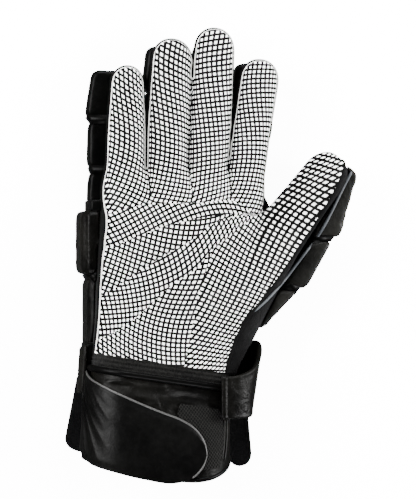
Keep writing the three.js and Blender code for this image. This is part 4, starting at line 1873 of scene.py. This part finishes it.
@dataclass
class Cuff:
    """Leather cuff with its rolled edge, hem, welts and closing tape."""

    cuff: CuffForm
    start: float = -68.4
    thickness: float = 2.4
    roll: float = 2.0
    lift: float = 1.7
    hem: float = 1.5
    welt_radius: float = 0.8
    tape_thickness: float = 0.9
    welts: tuple[float, ...] = (0.0, -2.6)
    tape_cut: Pair = (0.021, 0.041)
    tape_left: Outline = ((-25, -86.3), (-27, -93), (-22, -100), (-17, -108), (-15, -116), (-17, -125.5))
    tape_right: Outline = ((-1, -90.3), (1.6, -97), (2.4, -107), (1.6, -115), (0, -120), (-2, -124.5))
    welt: Outline = ((6.6, -90), (6.0, -100), (5.4, -109), (4.2, -116), (3.0, -121))

    def crumple(self, p: Vector) -> float:
        """Height of the soft creases at a point of the cuff.

        Args:
            p: The point.

        Returns:
            The height.
        """
        front = smoothstep(p.z, 38, 52)
        near = smoothstep(p.y, -112, -84)
        slack = Vector((p.x + 0.5 * p.y, p.y, p.z))
        ridge = 1 - abs(wrinkle(slack, (17, 6.5, 40), 1.3)) * 2
        return front * near * (1.2 * ridge - 0.5) + 0.25 * wrinkle(p, (11, 11, 11), 6.1)

    def build(self, wear: Wardrobe) -> None:
        """Build and dress the cuff.

        Args:
            wear: The glove's finishes.
        """
        form = self.cuff

        def place(s: float, t: float) -> Vector:
            """Point of the leather.

            Args:
                s: Share of the way round.
                t: Share of the way along.

            Returns:
                The point.
            """
            along = mix(self.start, form.rim_along(s), t)
            p = form.ring(s, along)
            hold = smoothstep(t, 0, 0.08) * (1 - smoothstep(t, 0.93, 1))
            return form.ring(s, along, self.crumple(p) * hold - 0.3)

        bm = wrap_grid(260, 80, place)
        bmesh.ops.recalc_face_normals(bm, faces=bm.faces)
        obj = object_from(bm, "cuff_leather")
        finish(obj, ["cuff"], [wear.creased, wear.lining], Slot.LEATHER)
        wall(obj, self.thickness * MM, inner_slot=1)
        turns = np.linspace(0.5, 1.5, 181)
        rolled = np.array([form.ring(s, self.start + self.lift, 0.6) for s in turns])
        hem = np.array([form.ring(s, form.rim_along(s) + 0.6, -1.1) for s in turns])
        edge = object_from(cord_mesh(rolled, self.roll, 14), "cuff_rolled_edge")
        finish(edge, [], [wear.leather], Slot.LEATHER)
        bottom = object_from(cord_mesh(hem, self.hem, 12), "cuff_hem_roll")
        finish(bottom, [], [wear.leather], Slot.LEATHER)
        self.patch(wear)

    def patch(self, wear: Wardrobe) -> None:
        """Build the closing tape on the front and the double welt at the right.

        Args:
            wear: The glove's finishes.
        """
        form = self.cuff
        left, right = Course(self.tape_left, space=2), Course(self.tape_right, space=2)

        def place(s: float, t: float) -> Vector:
            """Point of the closing tape.

            Args:
                s: Share of the way across.
                t: Share of the way down.

            Returns:
                The point.
            """
            a, b = left.at(left.length * t), right.at(right.length * t)
            x, y = mix(a[0], b[0], s), mix(a[1], b[1], s)
            lift = self.crumple(form.on_front(x, y, 0.0)) * 0.8
            return form.on_front(x, y, 0.75 + max(lift, -0.3))

        bm = wrap_grid(60, 90, place)
        face_up(bm)
        area = sum(f.calc_area() for f in bm.faces) * MM * MM
        obj = object_from(bm, "cuff_closing_tape")
        finish(obj, [], [wear.tape], Slot.LEATHER)
        wall(obj, self.tape_thickness * MM)
        line = Course(self.welt, space=2)
        spots = [line.at(d) for d in np.linspace(0, line.length, 50)]
        cords = [
            cord_mesh(np.array([form.on_front(x + shift, y, 0.3) for x, y in spots]), self.welt_radius, 8)
            for shift in self.welts
        ]
        # The welts take the lighter leather with painted light.
        finish(object_from(joined(cords), "cuff_side_welts"), [], [wear.lit_leather], Slot.LEATHER)


@dataclass
class Flap:
    """Closing flap round the left of the cuff, with a piped edge."""

    cuff: CuffForm
    thickness: float = 2.2
    lift: float = 2.6
    piping_lift: float = 2.4
    piping_radius: float = 0.6
    fan: Pair = (-92.0, -62.0)
    upper: Outline = (
        (-93, -66),
        (-83.5, -70),
        (-74, -74),
        (-64, -79),
        (-48, -86.5),
        (-36, -91.5),
        (-25, -96),
        (-17.5, -101),
        (-12.5, -108),
        (-11, -116),
    )
    lower: Outline = (
        (-93, -113),
        (-84, -118.5),
        (-75, -122),
        (-66, -124.6),
        (-48, -129.4),
        (-29, -132),
        (-20, -129.5),
        (-13.5, -123.5),
        (-11, -116),
    )

    def build(self, wear: Wardrobe) -> None:
        """Build and dress the flap.

        Args:
            wear: The glove's finishes.
        """
        top, low = Course(self.upper, space=2), Course(self.lower, space=2)

        def plan(s: float, t: float) -> Pair:
            """Plan point between the two long edges."""
            a, b = top.at(top.length * s), low.at(low.length * s)
            return mix(a[0], b[0], t), mix(a[1], b[1], t)

        def place(s: float, t: float) -> Vector:
            """Point of the flap's outer face.

            Args:
                s: Share of the way along.
                t: Share of the way from the upper edge to the lower one.

            Returns:
                The point.
            """
            x, y = plan(s, t)
            edge = min(smoothstep(t, 0, 0.12), 1 - smoothstep(t, 0.88, 1))
            left = 1 - smoothstep(x, -84, -56)
            out, down = x - self.fan[0], self.fan[1] - y
            spoke = Vector((math.degrees(math.atan2(down, out)), math.hypot(out, down), 0))
            ridge = 1 - 2 * abs(wrinkle(spoke, (7.5, 34, 1), 4.2))
            drape = left * (0.8 * ridge - 0.4) + 0.3 * wrinkle(Vector((x, y, 0)), (22, 17, 1), 9.3)
            return self.cuff.on_front(x, y, self.lift + 0.5 * edge + drape * edge)

        bm = wrap_grid(170, 90, place, weld=0.05)
        face_up(bm)
        area = sum(f.calc_area() for f in bm.faces) * MM * MM
        middle = [self.cuff.on_front(*plan(s, 0.5), self.lift) for s in np.linspace(0, 1, 60)]
        high, deep = (self.cuff.on_front(*plan(0.1, t), self.lift) for t in (0, 1))
        obj = object_from(bm, "cuff_flap_leather")
        finish(obj, ["cuff_flap"], [wear.gloss, wear.lining], Slot.LEATHER)
        wall(obj, self.thickness * MM, inner_slot=1)
        # The grey piping runs along the upper edge and round the end only, where it carries a painted
        # highlight; the lower edge has none.
        edge = [self.cuff.on_front(*plan(s, 0), self.piping_lift) for s in np.linspace(0, 1, 160)]
        edge += [self.cuff.on_front(*plan(s, 1), self.piping_lift) for s in np.linspace(1, 0.82, 30)[1:]]
        path = relaxed(evened(np.array(edge), 1.0), 2)
        piping = object_from(cord_mesh(path, self.piping_radius, 10), "cuff_flap_piping")
        finish(piping, [], [wear.lit_edging], Slot.LEATHER)


@dataclass(frozen=True)
class StrapEnd:
    """A loose strap end, by its middle, its sizes and its turns in degrees about Z and Y."""

    node: str
    middle: Triple
    width: float
    length: float
    tip: float
    lean: float
    roll: float
    thickness: float = 2.2


@dataclass
class Straps:
    """Wrist strap and the two loose strap ends."""

    stations: tuple[tuple[float, ...], ...] = (
        (-1, -83.5, 57, 25, 0),
        (10, -83, 56.6, 26, 0),
        (18, -81, 52.5, 29, 0.08),
        (23, -76.5, 43, 34, 0.17),
        (24.8, -72, 31, 40, 0.2),
        (22.4, -70, 20, 36, 0.14),
        (15, -70, 12, 28, 0.04),
        (0, -70, 9.2, 24, 0),
        (-30, -70, 9, 23, 0),
        (-60, -70, 9, 23, 0),
        (-71.5, -70, 10.2, 23, 0),
        (-77.4, -69, 15.5, 25, 0.05),
        (-78.6, -67.6, 23, 28, 0.07),
        (-77.6, -67.2, 31, 28, 0.07),
    )
    thickness: float = 2.4
    ends: tuple[StrapEnd, ...] = (
        StrapEnd("strap_tail_left", (-73, -96.5, 6.4), 19, 44, 8, -11, 0),
        StrapEnd("strap_tail_right", (20.2, -106, 13), 17, 46, 9, 5, -46),
    )

    def wrist(self, wear: Wardrobe) -> None:
        """Build the wrist strap.

        Args:
            wear: The glove's finishes.
        """
        line = Course([(x, 0, z, y, w, lean) for x, y, z, w, lean in self.stations])

        def place(s: float, t: float) -> Vector:
            """Point of the strap's skin.

            Args:
                s: Share of the way round.
                t: Share of the way along.

            Returns:
                The point.
            """
            at = line.length * t
            x, _, z, y, width, lean = line.at(at)
            along = line.heading(at)
            inward = Vector((along.z, 0, -along.x))
            p, q = rounded_point(width, self.thickness, 1.1, s, STRAP_ROUND)
            welt = 0.18 * smoothstep(abs(p) / (width / 2), 0.8, 0.92)
            fold = 0.6 * (1 - smoothstep(at, 2.4, 2.9)) - 0.5 * max(0.0, 1 - abs(at - 3.6) / 1.0)
            q += (welt if q > 0 else -welt) - 0.25 * wrinkle(Vector((at, p, 0)), (7, 12, 1), 3.3)
            q -= fold * smoothstep(-q, 0.3, 0.8)
            return Vector((x, y, z)) + inward * q + Vector((lean * p, p, 0))

        bm = wrap_grid(110, 220, place)
        close_ends(bm)
        obj = object_from(bm, "wrist_strap_leather")
        finish(obj, ["wrist_strap"], [wear.creased], Slot.LEATHER)

    def tail(self, end: StrapEnd, wear: Wardrobe) -> None:
        """Build one loose strap end.

        Args:
            end: The strap end.
            wear: The glove's finishes.
        """

        def place(s: float, t: float) -> Vector:
            """Point of the strap end's skin, in its own frame.

            Args:
                s: Share of the way round.
                t: Share of the way along.

            Returns:
                The point.
            """
            y = mix(end.length / 2, -end.length / 2, t)
            over = max(0.0, (-y - (end.length / 2 - end.tip)) / end.tip)
            w = end.width * math.sqrt(max(1 - over**2.2, 0.0))
            p, q = rounded_point(max(w, 0.01), end.thickness, 1.0, s, STRAP_ROUND)
            return Vector((p, y, q + 0.3 * math.sin(t * 5.0)))

        bm = wrap_grid(80, 90, place, weld=0.02)
        close_ends(bm)
        for angle, axis in ((end.lean, "Z"), (end.roll, "Y")):
            turn = Matrix.Rotation(math.radians(angle), 3, axis)
            bmesh.ops.rotate(bm, verts=bm.verts, cent=(0, 0, 0), matrix=turn)
        bmesh.ops.translate(bm, verts=bm.verts, vec=end.middle)
        finish(object_from(bm, f"{end.node}_tape"), [end.node], [wear.fleece], Slot.LEATHER)

    def build(self, wear: Wardrobe) -> None:
        """Build and dress the straps.

        Args:
            wear: The glove's finishes.
        """
        self.wrist(wear)
        for end in self.ends:
            self.tail(end, wear)


# Studio


@dataclass(frozen=True)
class Lamp:
    """A soft square lamp that faces the glove, with its size in metres and its power in watts."""

    name: str
    place: Triple
    size: float
    power: float


@dataclass
class Studio:
    """Pale floor, soft lights and the photograph's camera."""

    tilt: float = 14.0
    distance: float = 1.1
    height: float = 0.2994
    target: Triple = (-0.00593, 0.00109, 0.03)
    glow: float = 11.0
    sky: float = 0.15
    lamps: tuple[Lamp, ...] = (
        Lamp("key_left", (-1.0, 0.35, 0.75), 0.7, 64),
        Lamp("key_right", (1.1, 0.15, 0.6), 0.6, 62),
        Lamp("top_end", (0.1, 1.3, 0.7), 0.7, 52),
        Lamp("low_end", (-0.1, -1.2, 0.6), 0.7, 36),
    )

    def build(self) -> None:
        """Set the stage."""
        scene = bpy.context.scene
        floor = bmesh.new()
        bmesh.ops.create_grid(floor, x_segments=1, y_segments=1, size=6.0)
        ground = object_from(floor, "floor", smooth=False)
        paint = Recipe("floor_paint")
        paint.set(Base_Color=(0.95, 0.95, 0.95, 1.0), Roughness=0.95, Specular_IOR_Level=0.1)
        paint.set(Emission_Color=(1.0, 1.0, 1.0, 1.0), Emission_Strength=self.glow)
        ground.data.materials.append(paint.material)
        ground.location.z = -0.0005
        ground.visible_glossy = False
        world = bpy.data.worlds.new("studio")
        world.use_nodes = True
        world.node_tree.nodes["Background"].inputs["Color"].default_value = (1.0, 1.0, 1.0, 1.0)
        world.node_tree.nodes["Background"].inputs["Strength"].default_value = self.sky
        scene.world = world
        for lamp in self.lamps:
            self.light(lamp)
        self.camera()

    def light(self, lamp: Lamp) -> None:
        """Hang one lamp.

        Args:
            lamp: The lamp.
        """
        bulb = bpy.data.lights.new(lamp.name, "AREA")
        bulb.size = lamp.size
        bulb.energy = lamp.power
        obj = bpy.data.objects.new(lamp.name, bulb)
        obj.location = lamp.place
        obj.rotation_euler = (Vector((0, 0, 0.03)) - Vector(lamp.place)).to_track_quat("-Z", "Y").to_euler()
        bpy.context.scene.collection.objects.link(obj)

    def camera(self) -> None:
        """The photograph's view, for an image of 416 x 499."""
        lens = bpy.data.cameras.new("photo_camera")
        lens.sensor_fit = "VERTICAL"
        lens.sensor_height = 36.0
        lens.lens = 36.0 * self.distance / self.height
        a = math.radians(self.tilt)
        back = Vector((-math.sin(a), 0, math.cos(a)))
        side = Vector((math.cos(a), 0, math.sin(a)))
        turn = Matrix((side, back.cross(side), back)).transposed().to_4x4()
        obj = bpy.data.objects.new("photo_camera", lens)
        obj.matrix_world = Matrix.Translation(Vector(self.target) + back * self.distance) @ turn
        bpy.context.scene.collection.objects.link(obj)
        bpy.context.scene.camera = obj


def main() -> None:
    """Build the glove's looks, piece by piece."""
    logging.basicConfig(level=logging.INFO, format="%(name)s: %(message)s")
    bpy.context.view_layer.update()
    Studio().build()
    wear = Wardrobe()
    form = HandForm()
    ClothHand(form, PalmCloth(form)).build(wear)
    FoamPads().build(wear)
    cuff = CuffForm(form)
    WristBand(cuff).build(wear)
    Cuff(cuff).build(wear)
    Flap(cuff).build(wear)
    Straps().build(wear)


if __name__ == "__main__":
    main()
